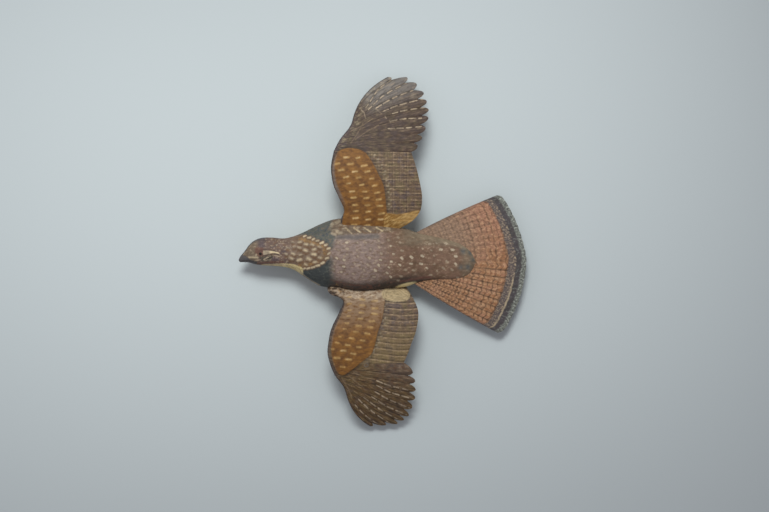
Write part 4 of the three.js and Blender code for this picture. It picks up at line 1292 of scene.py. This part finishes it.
class GROUSE_OT_wings(bpy.types.Operator):
    """Carve and paint the two wings"""

    bl_idname = "grouse.wings"
    bl_label = "Carve Wings"

    def execute(self, context):
        for wing in (RIGHT_WING, LEFT_WING):
            bm = plate(ARM_COLUMNS + HAND_COLUMNS, CHORD_ROWS)
            place = wing_place(wing, context.scene.grouse_sizes)
            piece = finish_piece(f"carved_{wing['name']}", bm, place, [wing["name"]])
            piece.data.materials.append(painted_wing(wing, context.scene.grouse_wings))
        return {"FINISHED"}


class GROUSE_OT_tail(bpy.types.Operator):
    """Carve and paint the tail fan"""

    bl_idname = "grouse.tail"
    bl_label = "Carve Tail"

    def execute(self, context):
        bm = plate(TAIL_COLUMNS, TAIL_ROWS)
        place = tail_place(context.scene.grouse_sizes)
        piece = finish_piece("carved_tail", bm, place, ["tail_fan"])
        piece.data.materials.append(painted_tail(context.scene.grouse_tail))
        return {"FINISHED"}


def painted_board(settings):
    """Wall paint rolled on a board, with the fine orange-peel texture that a roller leaves."""
    material = bpy.data.materials.new("rolled_wall_paint")
    material.use_nodes = True
    tree = material.node_tree
    tree.nodes.clear()
    place = add(tree, "TexCoord", output="Object")
    peel = add(tree, "TexNoise", {"Vector": place, "Scale": 1 / (1.3 * MM), "Detail": 2})
    normal = add(tree, "Bump", {"Height": peel, "Distance": 0.1 * MM, "Strength": 0.4})
    inputs = {"Base Color": settings.board, "Roughness": 0.7, "Normal": normal}
    add(tree, "OutputMaterial", {"Surface": add(tree, "BsdfPrincipled", inputs)})
    return material


class GROUSE_OT_stage(bpy.types.Operator):
    """Lay the board and set the light and the camera"""

    bl_idname = "grouse.stage"
    bl_label = "Set Stage"

    def execute(self, context):
        settings = context.scene.grouse_stage
        bm = bmesh.new()
        bmesh.ops.create_grid(bm, x_segments=1, y_segments=1, size=BOARD_REACH)
        mesh = bpy.data.meshes.new("board")
        bm.to_mesh(mesh)
        bm.free()
        board = bpy.data.objects.new("board", mesh)
        board.data.materials.append(painted_board(settings))
        context.scene.collection.objects.link(board)

        light = bpy.data.lights.new("window", "AREA")
        light.shape = "RECTANGLE"
        light.size, light.size_y = WINDOW_SIZE
        light.energy = settings.key_power
        light.spread = math.radians(WINDOW_SPREAD)
        light.color = WINDOW_TINT
        window = bpy.data.objects.new("window", light)
        window.location = WINDOW_PLACE
        window.visible_camera = False
        aim = (Vector(WINDOW_AIM) - window.location).normalized()
        window.rotation_euler = aim.to_track_quat("-Z", "Y").to_euler()
        context.scene.collection.objects.link(window)

        world = bpy.data.worlds.new("soft room light")
        world.use_nodes = True
        background = world.node_tree.nodes["Background"]
        background.inputs["Color"].default_value = linear(ROOM_TINT)
        background.inputs["Strength"].default_value = settings.fill
        context.scene.world = world
        context.scene.view_settings.view_transform = "Standard"

        camera = bpy.data.cameras.new("camera")
        camera.lens = camera.sensor_width * settings.camera_height / settings.frame_width
        eye = bpy.data.objects.new("camera", camera)
        eye.location = (*CAMERA_OVER, settings.camera_height)
        context.scene.collection.objects.link(eye)
        context.scene.camera = eye
        return {"FINISHED"}


class GROUSE_PT_panel(bpy.types.Panel):
    """Lists the steps that build the bird"""

    bl_idname = "GROUSE_PT_panel"
    bl_label = "Grouse Carving"
    bl_space_type = "VIEW_3D"
    bl_region_type = "UI"
    bl_category = "Grouse"

    def draw(self, context):
        for step in STEPS:
            self.layout.operator(step.bl_idname)
        for group_name in SETTINGS:
            group = getattr(context.scene, group_name)
            box = self.layout.box()
            for name in group.__annotations__:
                box.prop(group, name)


STEPS = (GROUSE_OT_stage, GROUSE_OT_body, GROUSE_OT_wings, GROUSE_OT_tail)
SETTINGS = {
    "grouse_body": BodyPaint,
    "grouse_wings": WingPaint,
    "grouse_tail": TailPaint,
    "grouse_sizes": CarvingSizes,
    "grouse_stage": StageSettings,
}


def register():
    for group in SETTINGS.values():
        bpy.utils.register_class(group)
    for cls in (*STEPS, GROUSE_PT_panel):
        bpy.utils.register_class(cls)
    for name, group in SETTINGS.items():
        setattr(bpy.types.Scene, name, bpy.props.PointerProperty(type=group))


def unregister():
    for name in SETTINGS:
        delattr(bpy.types.Scene, name)
    for cls in (GROUSE_PT_panel, *reversed(STEPS)):
        bpy.utils.unregister_class(cls)
    for group in reversed(SETTINGS.values()):
        bpy.utils.unregister_class(group)


def main():
    register()
    bpy.ops.grouse.stage()
    bpy.ops.grouse.body()
    bpy.ops.grouse.wings()
    bpy.ops.grouse.tail()


if __name__ == "__main__":
    main()
